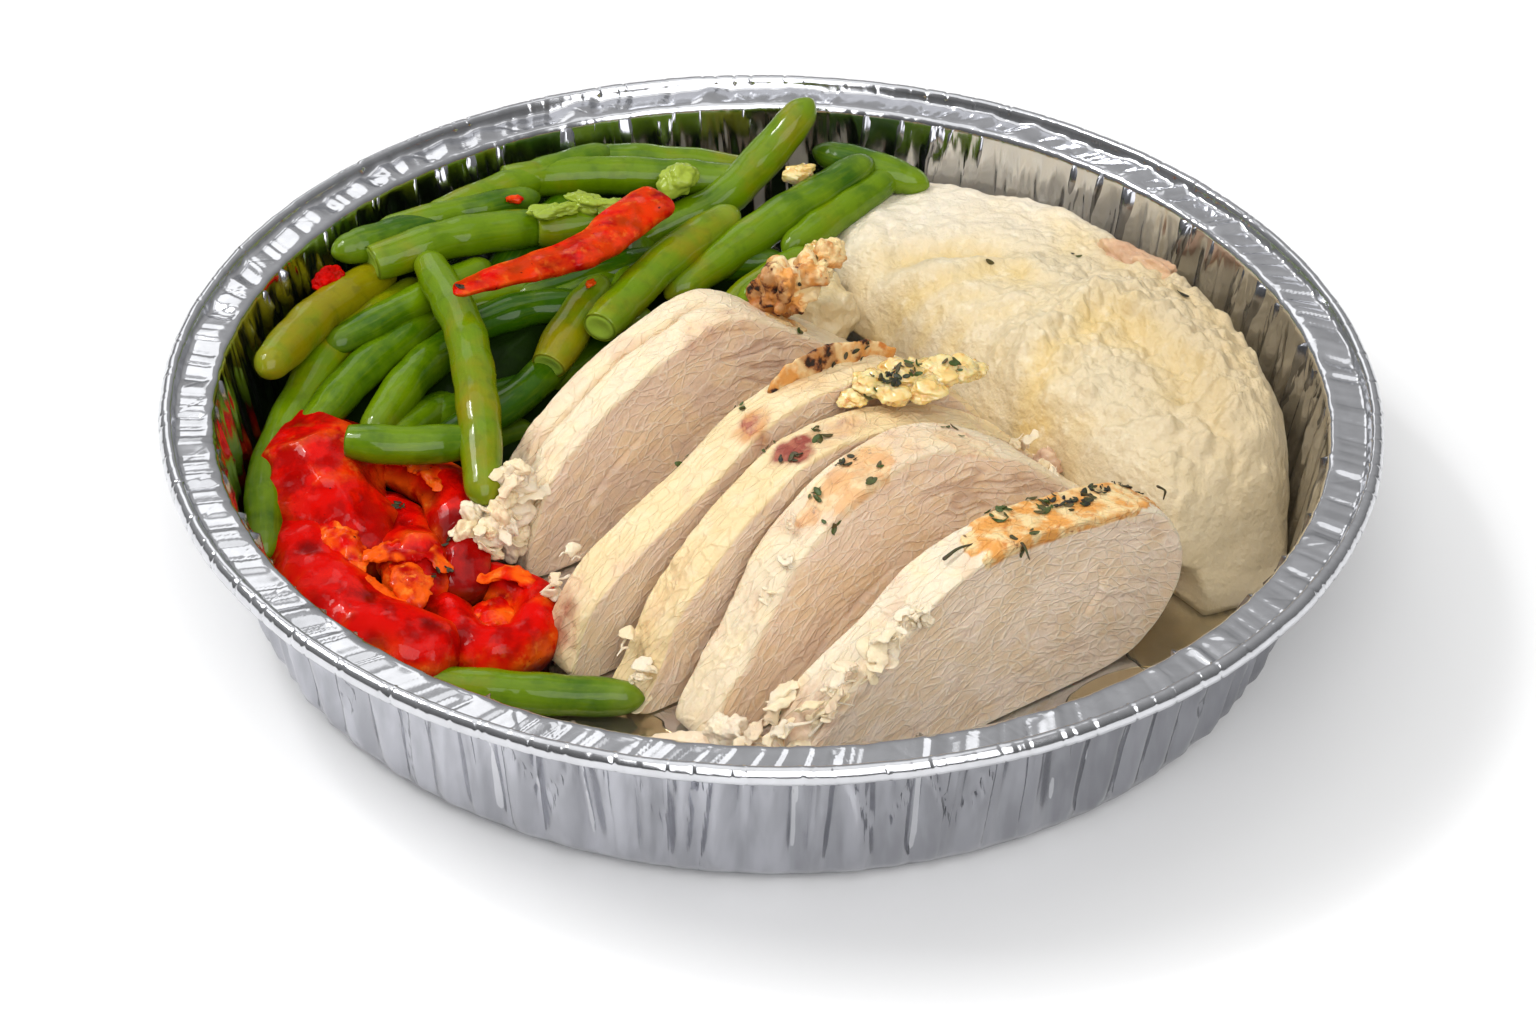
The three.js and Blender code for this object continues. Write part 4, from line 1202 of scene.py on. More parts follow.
def bean_finish(food):
    """Cooked green beans: olive to deep green by the bean's own tone, with lighter streaks along the skin as
    painted sheen, pale and moist where cut, dark in the hollows of open ends and near black on the heap's
    core as painted shade, with an oily gloss."""
    f = Finish("green_bean")
    tone = f.math("ADD", f.mark("tone"), f.times(f.math("SUBTRACT", f.noise(7.0), 0.5), 0.9))
    # Tone beyond deep green is painted near black: painted shade in the depths of the heap.
    core = f.span(tone, 1.15, 1.5)
    ribs_and_painted_sheen = f.noise(0.8, 3.0, f.along("length", "girth"))
    base = f.layered(
        food.bean_olive,
        (f.span(tone, 0.0, 0.5), food.bean_green),
        (f.span(tone, 0.5, 1.0), food.bean_deep),
        (core, linear(16, 34, 8)),
        # Painted highlight: lighter streaks along the skin, over the ribs' relief.
        (f.times(f.span(ribs_and_painted_sheen, 0.45, 0.75), 0.16), linear(140, 156, 20)),
        (f.times(f.span(f.noise(3.0), 0.52, 0.7), 0.2), linear(34, 60, 4)),
        (f.mark("pale"), linear(158, 176, 60)),
        (f.mark("cut"), linear(150, 180, 60)),
        # Painted shade in the hollow of an open end.
        (f.mark("hollow"), linear(60, 90, 16)),
    )
    return f.finished(
        {
            "Base Color": base,
            "Roughness": f.span(f.noise(2.0), 0.35, 0.7, 0.25, 0.5),
            "Specular IOR Level": 0.05,
            "Coat Weight": f.span(tone, 1.15, 1.5, 0.5, 0.0),
            "Coat Roughness": 0.05,
            "Normal": f.bump(ribs_and_painted_sheen, 0.22, 0.1, f.bump(f.noise(2.2, 4.0), 0.3, 0.3)),
        }
    )


class MEAL_OT_beans(bpy.types.Operator):
    """Make the heap of green beans and the bean at the front"""

    bl_idname = "meal.beans"
    bl_label = "Green beans"

    def execute(self, context):
        finish = bean_finish(context.scene.meal_food)
        pods = [bean_skin(*bean, seed) for seed, bean in enumerate(BEANS)]
        make_piece("bean_pods", pods, finish, "bean", "green_beans")
        make_piece("bean_fillers", filler_beans(), finish, "bean", "green_beans")
        make_piece("bean_heap_shade_core", [heap_skin()], finish, "bean", "green_beans")
        make_piece("front_bean_pod", [bean_skin(*FRONT_BEAN, 77)], finish, "bean", "front_bean")
        return {"FINISHED"}


# ---- peppers ------------------------------------------------------------------------

# Folded pieces of pepper: path, width and thickness of the section, its widths at the start, middle and
# end as shares (all 1 where none are given), how far the rims curl up, and how crumpled it is.
PEPPERS = [
    dict(path=[[-88, 13, 12], [-87.5, 2, 14.5], [-83, -10, 11.5], [-78, -19, 8.5]], width=24, thickness=19,
         widen=[0.9, 1.05, 0.9], curl=2.0, crumple=1.1),
    dict(path=[[-89, -12, 9], [-84, -29, 9], [-74, -41, 8], [-61, -46, 8]], width=17, thickness=16,
         widen=[0.95, 1.05, 1.0], curl=1.5, crumple=0.4),
    dict(path=[[-73, 2, 15], [-63, -4, 15], [-58, -16, 13], [-57, -28, 9]], width=11, thickness=9,
         widen=[0.7, 1.1, 1.0], curl=2.0, crumple=0.4),
    dict(path=[[-74, -5, 9], [-69, -16, 10.5], [-64, -29, 10]], width=13, thickness=12,
         curl=1.0, crumple=1.0),
    dict(path=[[-60, -32, 6], [-54, -43, 6.5], [-45, -42, 6.5], [-43, -31, 7], [-52, -24, 7]],
         width=10.5, thickness=12, curl=1.0, crumple=0.45),
]
PEPPER_STRIP = dict(
    path=[[-60, 29, 38.5], [-55, 34, 37.5], [-44, 41, 37], [-36, 47, 37], [-29, 58, 37], [-24, 63, 38]],
    width=9.0, thickness=4.6, widen=[0.45, 0.95, 1.2], curl=1.4, crumple=0.2,
)

# Torn flaps and ridges of flesh: the piece they belong to, path, width and thickness.
PEPPER_FLAPS = [
    (1, [[-90, 4, 21.8], [-87.5, -4, 22.6], [-86, -12, 19.4]], 2.6, 2.4),
    (1, [[-84, -7, 21], [-82, -12, 18.6], [-79, -17, 15]], 2.2, 2.0),
    (2, [[-84, -17, 16.5], [-80, -22, 16.5], [-76, -27, 14.5]], 3.6, 2.6),
    (2, [[-77, -29, 15], [-72, -35, 14], [-66, -40, 12.5]], 2.2, 2.0),
    (4, [[-75, -26, 14.5], [-70, -25, 16], [-64, -25, 15.5], [-60, -27, 14]], 3.4, 2.4),
    (4, [[-69, -28, 14.5], [-66.5, -32, 14.5], [-64.5, -37, 12.5]], 4.6, 3.0),
    (3, [[-74, 1, 18.5], [-67, -2, 19.4], [-63, -8, 18.8]], 2.6, 2.0),
    (5, [[-53, -28, 12], [-48, -27, 12.5], [-43, -31, 12]], 2.6, 2.4),
    (5, [[-55, -34, 8], [-50, -34, 8.5], [-47, -35, 8]], 5.0, 3.0),
]

PEPPER_ROWS = 130
SMALL_PEPPER = 9.5  # pieces narrower than this have smaller dents


def pepper_skin(piece, seed, sides):
    """A folded slab of pepper: a lens-shaped section, thin and curled up at its two rims, carried along the
    path. Its skin is dented like a half empty bag, with crests between the dents. The mark `flesh` is high
    on the crests and the torn rims, `fold` in the dents and `deep` low down between the pieces; the finish
    paints `fold` and `deep` darker, as painted shade."""
    small = piece["width"] < SMALL_PEPPER
    size = piece["crumple"]
    widen = piece.get("widen", [1.0, 1.0, 1.0])

    def shape(t, turn):
        """Radius along the piece: from the widths given at its start, middle and end."""
        return np.interp(t[:, 0], [0, 0.5, 1], widen)[:, None] * (1 - 0.15 * np.abs(2 * t - 1) ** 5)

    ends = [round_end(0.3 * piece["width"])] * 2
    section = piece["width"], piece["thickness"]
    points, _, turn, scale = swept(piece["path"], *section, ends, shape, sides, PEPPER_ROWS)
    out = outward(points)
    lens = -0.4 * piece["thickness"] * np.sin(turn) * (1 - np.abs(np.sin(turn)) ** 0.45) * min(1, size)
    curl = piece["curl"] * np.abs(np.cos(turn)) ** 6 * np.where(np.cos(turn) > 0, 1, 0.3)
    points[..., 2] += (lens + curl) * scale
    broad = noise(points, 7.0 if small else 15.0, 40 + seed, 2)
    cells = strewn(points + 1.5 * noise(points, 5, 45 + seed)[..., None], 6.0 if small else 10.0, 50 + seed)
    crest = smooth(cells, 0.62, 0.9)
    torn = np.abs(np.cos(turn)) ** 8 * noise(points, (2.5, 2.5, 4), 65 + seed, 3)
    push = size * (1.4 * broad + 3.4 * (cells - 0.5) + 0.7 * torn) + 0.1 * noise(points, 2.6, 60 + seed, 2)
    points = points + out * (push * (0.35 + 0.65 * scale))[..., None]
    points[..., 2] = np.maximum(points[..., 2], FLOOR)
    rim = np.abs(np.cos(turn)) ** 5 * smooth(noise(points, (7, 7, 7), 70 + seed, 2), -0.35, 0.3)
    # deep rises low down between the pieces and fold in the dents; the finish paints both darker, as painted
    # shade.
    deep = smooth(points[..., 2] / piece["path"][1][2], 1.25, 0.6) * (not small)
    rim = np.maximum(np.maximum(rim, 0.3 * small), 0.55 * crest)
    fold = smooth(cells, 0.4, 0.1)
    return wrapped(points, flesh=rim, fold=fold, deep=deep, tone=0.5 * math.sin(2.4 * seed))


def flap_skin(path, width, thickness, seed):
    """A torn flap of flesh: a thin strip with a ragged rim that stands on the piece it belongs to."""
    ends = [round_end(0.3 * thickness, 1.0)] * 2

    def shape(t, turn):
        """Widest in the middle."""
        return 0.45 + 0.85 * np.sin(math.pi * (0.1 + 0.8 * t))

    points, _, turn, scale = swept(path, 1.25 * width, 0.6 * thickness, ends, shape, sides=60, rows=70)
    out = outward(points)
    ragged = 0.25 * noise(points, 2.6, seed, 3)
    ragged = ragged + 1.5 * np.abs(np.cos(turn)) ** 4 * noise(points, 1.8, seed + 3, 3)
    points = points + out * (ragged * scale)[..., None]
    points[..., 2] += 0.8 * noise(points, 3.0, seed + 5, 2)
    return wrapped(points, flesh=smooth(noise(points, 3.5, seed + 9, 2), -0.5, 0.1))


def pepper_finish(food):
    """Roasted red pepper: wet, deep red with orange flesh on the crests, painted darker in the folds and near
    black low down between the pieces as painted shade, and sharp broken highlights."""
    f = Finish("roasted_pepper")
    tone = f.math("ADD", f.noise(6.0), f.times(f.mark("tone"), 0.12))
    wet = f.span(f.noise(5.0), 0.46, 0.6)
    beads = f.times(f.noise(1.7), f.span(wet, 0.0, 1.0, 0.3, 1.0))
    flesh = f.mark("flesh")
    base = f.layered(
        food.pepper_red,
        (f.span(tone, 0.42, 0.62), scaled_colour(food.pepper_red, 0.6)),
        (f.span(f.noise(5.0), 0.55, 0.72), linear(216, 16, 1)),
        # Painted shade: darker red in the dents.
        (f.times(f.mark("fold"), 0.8), linear(104, 2, 1)),
        (f.times(flesh, f.span(f.noise(4.0, 4.0), 0.32, 0.55), True), food.pepper_flesh),
        (f.times(flesh, f.span(f.noise(2.2, 4.0), 0.55, 0.72), True), linear(232, 128, 40)),
        # Painted shade: near black low down between the pieces.
        (f.times(f.mark("deep"), 0.85), linear(58, 1, 1)),
        (f.span(f.noise(1.3), 0.7, 0.76), linear(52, 12, 6)),
    )
    return f.finished(
        {
            "Base Color": base,
            "Roughness": 0.5,
            "Specular IOR Level": 0.02,
            "Coat Weight": f.span(wet, 0.0, 1.0, 0.05, 0.4),
            "Coat Roughness": 0.03,
            "Normal": f.bump(beads, 0.6, 0.4, f.bump(f.noise(5.0, 2.0), 0.4, 0.6)),
        }
    )


class MEAL_OT_peppers(bpy.types.Operator):
    """Make the roasted pepper pieces and the strip on the beans"""

    bl_idname = "meal.peppers"
    bl_label = "Roasted peppers"

    def execute(self, context):
        finish = pepper_finish(context.scene.meal_food)
        for number, piece in enumerate(PEPPERS, start=1):
            node = f"pepper_piece_{number}"
            skins = [pepper_skin(piece, number, sides=120)]
            for k, (owner, *flap) in enumerate(PEPPER_FLAPS):
                if owner == number:
                    skins.append(flap_skin(*flap, 80 + k))
            make_piece(f"{node}_flesh", skins, finish, "pepper", node)
        strip = pepper_skin(PEPPER_STRIP, 9, sides=60)
        make_piece("pepper_strip_flesh", [strip], finish, "pepper", "pepper_strip")
        bit = lump_skin([-88, 42, 32], [4, 2.2, 2], 0.9, 3, 0.25)
        make_piece("pepper_bit_flesh", [bit], finish, "pepper", "pepper_bit")
        return {"FINISHED"}


# ---- morsels ---------------------------------------------------------------------------

# How finely lumps are divided, by their size.
MIDDLING, SMALL, TINY = dict(sides=60, rows=40), dict(sides=48, rows=32), dict(sides=32, rows=22)


def lump_shape(size, seed, rough, grain, sides, rows):
    """An oval whose radius is changed by noise at three scales: the ball it is made from, its points and
    its finest unevenness."""
    rise = np.linspace(0, math.pi, rows + 2)[1:-1][:, None]
    swing = np.linspace(0, TAU, sides, endpoint=False)[None, :]
    ball = grid(np.sin(rise) * np.cos(swing), np.sin(rise) * np.sin(swing), np.cos(rise))
    bumps = 1 + rough * noise(ball + seed, 0.9, seed, 2) + 0.45 * rough * noise(ball, 0.35, seed + 7, 2)
    shaped = ball * bumps[..., None] * np.array(size)
    crags = noise(shaped + 50.0 * seed, 1.4, seed + 3, 3)
    return ball, shaped + ball * (grain * crags)[..., None], crags


def lump_skin(at, size, turn=0.0, seed=0, rough=0.2, grain=0.5, sides=72, rows=48, roast=0.0, **levels):
    """An uneven rounded lump at a place. `roast` browns its lower left; `levels` are marks that are the
    same all over it."""
    ball, shaped, crags = lump_shape(size, seed, rough, grain, sides, rows)
    c, s = math.cos(turn), math.sin(turn)
    points = shaped @ np.array([[c, s, 0], [-s, c, 0], [0, 0, 1]]) + np.array(at, float)
    points[..., 2] = np.maximum(points[..., 2], FLOOR)
    browned = roast * smooth(-ball[..., 0] - 0.4 * ball[..., 2] + 0.7 * crags, -0.6, 0.2)
    return wrapped(points, **{"edge": 1.0, "roast": browned, **levels})


def strand_skin(path, width, **levels):
    """A thin tapered shred along a path."""

    def shape(t, turn):
        """Tapers towards its far end."""
        return 1 - 0.65 * t

    ends = [round_end(0.5 * width)] * 2
    points, *_ = swept(path, width, 0.6 * width, ends, shape, sides=8, rows=12)
    return wrapped(points, **levels)


def onion_finish(food):
    """Soft fried onion: translucent yellow, glossy, browner in patches."""
    f = Finish("fried_onion")
    base = f.layered(
        food.onion,
        (f.span(f.noise(2.6, 4.0), 0.4, 0.65), linear(250, 222, 158)),
        (f.span(f.noise(1.8, 4.0), 0.56, 0.72), linear(214, 146, 54)),
    )
    return f.finished(
        {
            "Base Color": base,
            "Roughness": 0.2,
            "Coat Weight": 0.8,
            "Coat Roughness": 0.06,
            "Transmission Weight": 0.1,
            "Subsurface Weight": 0.5,
            "Subsurface Radius": (1.0, 0.6, 0.3),
            "Subsurface Scale": 0.003,
            "Normal": f.bump(f.noise(2.4), 0.4, 0.4),
        }
    )


# The soft onion on the second slice: place and half sizes of its lumps.
ONION_LUMPS = [
    ([15, -6.5, 39.8], [3.0, 2.8, 1.3]),
    ([18.5, -3.2, 41.4], [3.6, 3.4, 1.7]),
    ([22.0, -5.6, 40.4], [3.6, 3.2, 1.8]),
    ([24.5, -0.5, 41.4], [4.2, 3.8, 1.8]),
    ([28.5, -3.6, 40.0], [3.4, 3.2, 1.8]),
    ([31, 1.2, 40.8], [3.8, 3.8, 2.0]),
    ([35.5, 3.5, 39.6], [3.4, 3.4, 1.8]),
    ([28, 3.5, 38.6], [4.4, 3.8, 2.2]),
    ([38.0, 6.0, 38.2], [2.6, 2.4, 1.4]),
]


class MEAL_OT_morsels(bpy.types.Operator):
    """Make the browned morsel, the onion with herbs and the loose bits of chicken"""

    bl_idname = "meal.morsels"
    bl_label = "Morsels"

    def execute(self, context):
        meat, fried = bpy.data.materials["roast_chicken"], onion_finish(context.scene.meal_food)
        morsel = [
            lump_skin([2.5, 37.5, 33.5], [5.8, 4.8, 5.2], 0.6, 4, 0.9, 0.1, roast=1.45, warm=1.0),
            lump_skin([7.5, 41.5, 36.0], [5.2, 4.2, 3.8], 0.7, 14, 0.9, 0.1, roast=1.25, warm=1.0),
            lump_skin([11, 45, 38.5], [3.4, 2.8, 3.0], 1.0, 24, 0.5, 0.1, roast=0.6, warm=1.0),
            lump_skin([0, 39, 36.0], [3.0, 2.0, 1.6], 1.0, 34, 0.7, 0.2, roast=1.6, warm=1.0),
        ]
        make_piece("browned_morsel_meat", morsel, meat, "browned", "browned_morsel")
        onion = [
            lump_skin(*lump, 0.5 + 0.7 * k, 30 + k, 0.5, 0.12, **MIDDLING)
            for k, lump in enumerate(ONION_LUMPS)
        ]
        make_piece("onion_herb_bits", onion, fried, "onion", "onion_herb_lump")
        # The back morsel's meat is painted darker all over as painted shade, and tinted by the crack and seam
        # colours.
        bare = dict(dusk=1.0, edge=0.0, crack=0.6, seam=0.4)
        back = lump_skin([73, 57.5, 28.5], [10.5, 3.2, 4.2], -0.6, 7, 0.35, 0.7, **bare)
        make_piece("back_morsel_meat", [back], meat, "chicken", "back_morsel")
        scrap = lump_skin([-12, -66, 3.4], [12, 4.5, 2.2], -0.05, 5, 0.3, 0.5, edge=0.6)
        make_piece("chicken_scrap_meat", [scrap], meat, "chicken", "chicken_scrap")
        crumb = lump_skin([-7, -66, 8], [4.2, 3.6, 3], 0, 8, 0.35, 0.7)
        make_piece("chicken_crumb_meat", [crumb], meat, "chicken", "chicken_crumb")
        return {"FINISHED"}


# ---- torn ends and loose shreds ---------------------------------------------------------

# Where the slices are torn: the slice, places along the tear, how far the bits stray from them, how many
# lobes of meat and how large, how many ribbons, how many shreds and how long, and the way they point.
TEARS = [
    (1, [[-51, -17, 17], [-53, -20, 15.5], [-49, -13, 20], [-48, -11, 23], [-52, -18, 13], [-46, -11, 17],
         [-48, -13, 11]], 1.6, 20, 2.4, 30, 8, 4.5, [-0.6, -0.6, 0.1]),
    (2, [[-42.5, -32, 9], [-39, -33, 14], [-36.5, -30, 19]], 0.8, 2, 0.9, 5, 6, 2.5, [-0.7, -0.5, 0]),
    (3, [[-23.5, -52, 5], [-22, -53, 9], [-26, -46, 12]], 1.0, 3, 1.0, 6, 6, 2.5, [-0.6, -0.7, 0]),
    (4, [[3.8, -44, 29.5], [0, -47, 25], [-5, -51, 16], [4, -38, 34]], 0.6, 2, 0.7, 5, 8, 2.5,
     [0.3, -0.5, -0.4]),
    (4, [[53, -3, 21], [53, 6, 16], [48, 2, 24]], 1.0, 5, 1.3, 6, 6, 3.0, [0.7, 0, -0.2]),
    (5, [[8, -77, 20], [3, -76, 16], [12, -76.5, 24], [2, -71, 18], [16, -73, 27], [8, -80, 12],
         [-2, -72, 12], [20, -71, 31], [26, -66, 34]], 1.2, 5, 1.3, 50, 14, 5.0, [0.6, 0.3, 0.6]),
]

# The thick part of the tuft at the left end of the back slice.
TUFT = [
    ([-50, -13, 17], [4.6, 4.2, 4.2]),
    ([-52, -18.5, 15], [3.2, 2.8, 3.2]),
    ([-48, -10, 21.5], [3.2, 3.2, 2.8]),
    ([-49, -14, 10.5], [3.2, 3.2, 4.0]),
]


def lain(normals, draw, tilt=0.25):
    """Turns that lay a flat thing on a surface: its z near the normal, its x any way round."""
    z = unit(normals + draw.normal(0, tilt, normals.shape))
    x = unit(np.cross(draw.normal(size=normals.shape), z))
    return np.stack([x, np.cross(z, x), z], axis=2)


def ribbon_skin(path, width, seed, **levels):
    """A torn ribbon of meat: thin, ragged at both rims and wavy."""

    def shape(t, turn):
        """Widest in the middle."""
        return 0.5 + 0.6 * np.sin(math.pi * (0.1 + 0.8 * t))

    points, _, turn, scale = swept(path, width, 0.7, [round_end(0.3)] * 2, shape, sides=20, rows=26)
    out = outward(points)
    ragged = 0.12 * noise(points, 1.2, seed, 2) + 0.8 * np.cos(turn) ** 4 * noise(points, 1.5, seed + 3, 2)
    points = points + out * (ragged * scale)[..., None]
    return wrapped(points + 0.7 * wander(points, 2.4, seed), **levels)


def tear_skins(spots, stray, lobes, size, ribbons, shreds, length, way, seed):
    """Torn lobes of meat, ribbons that lie over them and tapered shreds between them, strewn round the
    places by a seeded draw."""
    draw = np.random.default_rng(seed)
    spots = np.array(spots, float)
    skins = []
    for k in range(lobes):
        spot = spots[draw.integers(len(spots))] + draw.normal(0, stray, 3)
        half, turn, warm = size * draw.uniform(0.45, 1.2, 3), draw.uniform(0, TAU), draw.uniform(0, 0.6)
        skins.append(lump_skin(spot, half, turn, seed + k, 0.5, 0.15, sides=44, rows=30, warm=warm))
    for k in range(ribbons + shreds):
        start = spots[draw.integers(len(spots))] + draw.normal(0, stray, 3)
        reach = length * draw.uniform(0.5, 1.3)
        turned = unit(np.array(way) + draw.normal(0, 0.55, 3)) * reach
        bend = draw.normal(0, 0.2 * reach, 3)
        path = np.array([start - 0.4 * turned, start + bend, start + 0.6 * turned])
        if k < ribbons:
            path[:, 2] += 0.6 * size * draw.uniform(0, 1)
            width, warm = draw.uniform(1.6, 3.4), draw.uniform(0, 0.5)
            skins.append(ribbon_skin(path, width, seed + k, edge=1.0, warm=warm))
        else:
            skins.append(strand_skin(path, draw.uniform(0.5, 1.1), edge=1.0))
    for skin in skins:
        skin.points[:, 2] = np.maximum(skin.points[:, 2], FLOOR)
    return skins


def char_skin():
    """The ribbon of charred skin that stands up behind the second slice."""
    path = [[0, -7, 40.5], [5, -3, 42], [11, 2, 42], [17, 6.5, 40.8], [22, 10, 38.5]]

    def shape(t, turn):
        """Tallest before its middle."""
        return 0.55 + 0.5 * np.sin(math.pi * t**0.7)

    points, _, _, scale = swept(path, 2.6, 7.5, [round_end(1.0)] * 2, shape, sides=48, rows=110)
    out = outward(points)
    points = points + out * (0.7 * noise(points, 2.4, 5, 3) * scale)[..., None]
    points = points + np.array([0.6, -0.8, 0]) * (1.2 * noise(points, (5, 5, 9), 6, 2))[..., None]
    return wrapped(points, edge=1.0, roast=1.15 + 0.5 * smooth(noise(points, 4, 8, 2), -0.1, 0.3))


class MEAL_OT_shreds(bpy.types.Operator):
    """Make the torn ends, the loose shreds and the charred skin of the slices"""

    bl_idname = "meal.shreds"
    bl_label = "Torn ends and shreds"

    def execute(self, context):
        meat = bpy.data.materials["roast_chicken"]
        for number in range(1, 6):
            skins = []
            for row, (owner, *tear) in enumerate(TEARS):
                if owner == number:
                    skins += tear_skins(*tear, 400 + 50 * row)
            if number == 1:
                skins += [lump_skin(*lump, 0.4, 90 + k, 0.5, 0.3) for k, lump in enumerate(TUFT)]
            make_piece(f"chicken_slice_{number}_tears", skins, meat, "chicken", f"chicken_slice_{number}")
        make_piece("chicken_slice_2_char", [char_skin()], meat, "browned", "chicken_slice_2")
        # The scrap is painted darker all over as painted shade, over its brown stain.
        brown = dict(stain=0.4, tint=0.7, dusk=1.0, edge=0.3)
        scrap = lump_skin([52.5, 4, 17], [3.8, 2.4, 2.8], 0.8, 44, 0.6, 0.8, **brown)
        make_piece("chicken_slice_4_scrap", [scrap], meat, "browned", "chicken_slice_4")
        return {"FINISHED"}


# ---- small bits among the beans ---------------------------------------------------------


class MEAL_OT_trimmings(bpy.types.Operator):
    """Make the pale pod end, the crumpled pod and the bits of onion and pepper among the beans"""

    bl_idname = "meal.trimmings"
    bl_label = "Bits among the beans"

    def execute(self, context):
        finishes = bpy.data.materials
        end_marks = dict(pale=0.95, tone=0.3)
        pod_end = lump_skin([-20.4, 77, 35], [4.2, 3.6, 3.2], 0.4, 51, 0.35, 0.3, **MIDDLING, **end_marks)
        crumpled = [
            lump_skin([-44, 62, 36.5], [4.5, 2.4, 1.5], 0.3, 52, 0.6, 0.6, **MIDDLING, pale=0.75, tone=0.4),
            lump_skin([-38, 64, 37], [4.8, 2.6, 1.7], -0.2, 53, 0.6, 0.6, **MIDDLING, pale=0.8, tone=0.4),
            lump_skin([-33, 64, 36.4], [3.4, 2.6, 1.4], 0.5, 54, 0.6, 0.6, **MIDDLING, pale=0.6, tone=0.4),
        ]
        make_piece("bean_trimmings", [pod_end, *crumpled], finishes["green_bean"], "bean", "green_beans")
        bits = [
            lump_skin([4.8, 81.4, 34.5], [3.4, 2.2, 2.0], 0.3, 55, 0.5, 0.5, **SMALL),
            lump_skin([8, 60, 29.5], [2.4, 1.8, 1.6], 0.8, 56, 0.5, 0.5, **SMALL),
            lump_skin([-45, 27, 19], [1.6, 1.2, 1.0], 0.8, 57, 0.5, 0.5, **SMALL),
        ]
        make_piece("onion_crumbs", bits, finishes["fried_onion"], "onion", "green_beans")
        reds = [
            lump_skin([-53, 67.5, 35.5], [1.9, 1.0, 0.8], 0.2, 58, 0.4, 0.3, **TINY, flesh=0.4),
            lump_skin([-36.4, 44.2, 30.8], [1.3, 0.9, 0.7], 0.9, 59, 0.4, 0.3, **TINY, flesh=0.8),
        ]
        make_piece("pepper_crumbs", reds, finishes["roasted_pepper"], "pepper", "green_beans")
        return {"FINISHED"}


# ---- herbs --------------------------------------------------------------------------------

# Chopped herbs and ground pepper, by the piece they lie on: the place, how far round it they reach, how
# many, and their tone from 0, black, over 0.5, brown, to 1, green.
HERBS = {
    "chicken_slice_5_meat": [
        ([41, -43, 40.4], 2.4, 12, 0.9), ([48.5, -38.5, 39.3], 2.6, 14, 0.7),
        ([53, -36, 38.5], 3.0, 10, 0.2), ([57, -34, 37.6], 2.4, 12, 0.3),
        ([60, -29.5, 36.2], 2.0, 16, 0.05), ([64, -24.5, 34], 2.2, 16, 0.05),
        ([67, -22, 31], 1.8, 8, 0.1), ([45, -50, 39.5], 3.0, 5, 0.5),
        ([2.7, -73, 17.6], 1.0, 2, 1.0),
    ],
    "chicken_slice_4_meat": [
        ([8, -33, 36.6], 1.8, 6, 0.9), ([13.5, -26, 39.5], 2.0, 8, 0.15),
        ([18, -31, 39.6], 1.2, 2, 1.0), ([20, -29, 39.6], 1.2, 2, 0.9),
        ([11, -39, 34], 1.6, 6, 0.8), ([33, -12, 36], 3.0, 4, 0.8),
    ],
    "chicken_slice_3_meat": [
        ([3.5, -24, 38.8], 2.0, 6, 0.1), ([8.6, -18.3, 39.8], 1.8, 7, 0.85),
        ([-1, -20, 38.4], 1.6, 3, 0.9),
    ],
    "chicken_slice_2_meat": [
        ([-6, -10, 39], 1.2, 4, 1.0), ([-17, -17, 34], 2.0, 2, 0.9),
    ],
    "chicken_slice_2_char": [([14, 4, 43], 5.0, 12, 0.05)],
    "chicken_slice_1_meat": [([10, 33, 31], 1.4, 2, 0.9)],
    "onion_herb_bits": [
        ([22.5, -3.2, 43], 2.6, 34, 0.25), ([27, -1, 43], 2.2, 16, 0.8),
        ([19, -5, 41], 2.4, 8, 0.9), ([33.5, 1, 41.5], 2.0, 7, 0.8),
    ],
    "browned_morsel_meat": [
        ([4, 36, 38], 2.0, 5, 0.1), ([9, 41, 39], 1.4, 3, 0.8),
    ],
    "mash_mound": [
        ([60, 60, 32], 3.0, 2, 0.5), ([80, 40, 31], 3.0, 2, 0.5),
        ([40, 55, 32], 5.0, 2, 0.6),
    ],
    "pepper_piece_4_flesh": [
        ([-70, -10, 15.4], 0.8, 9, 0.0), ([-60, -30, 14.5], 1.6, 8, 0.0),
    ],
    "pepper_piece_3_flesh": [([-60, -21.4, 15.2], 0.8, 4, 0.0)],
    "pepper_strip_flesh": [([-60, 29, 39], 1.5, 2, 0.1)],
}


def leaf_skin():
    """A scrap of chopped leaf, reaching from -1 to 1: a thin lens with pointed ends, arched a little."""
    x = np.linspace(-0.96, 0.96, 9)[:, None]
    turn = np.linspace(0, TAU, 10, endpoint=False)[None, :]
    wide = (1 - x**2) ** 0.6
    return wrapped(grid(x, 0.5 * wide * np.cos(turn), 0.12 * wide * np.sin(turn) + 0.2 * x**2))


def herb_finish():
    """Dried and fresh herbs, from near black over brown to leaf green."""
    f = Finish("chopped_herbs")
    tone = f.mark("tone")
    base = f.layered(
        linear(26, 24, 16),
        (f.span(tone, 0.15, 0.55), linear(84, 64, 24)),
        (f.span(tone, 0.5, 0.9), linear(62, 84, 22)),
        (f.span(f.noise(1.0), 0.4, 0.7), scaled_colour(linear(70, 80, 30), 0.7)),
    )
    return f.finished({"Base Color": base, "Roughness": 0.5, "Normal": f.bump(f.noise(0.5, 2.0), 0.5, 0.15)})


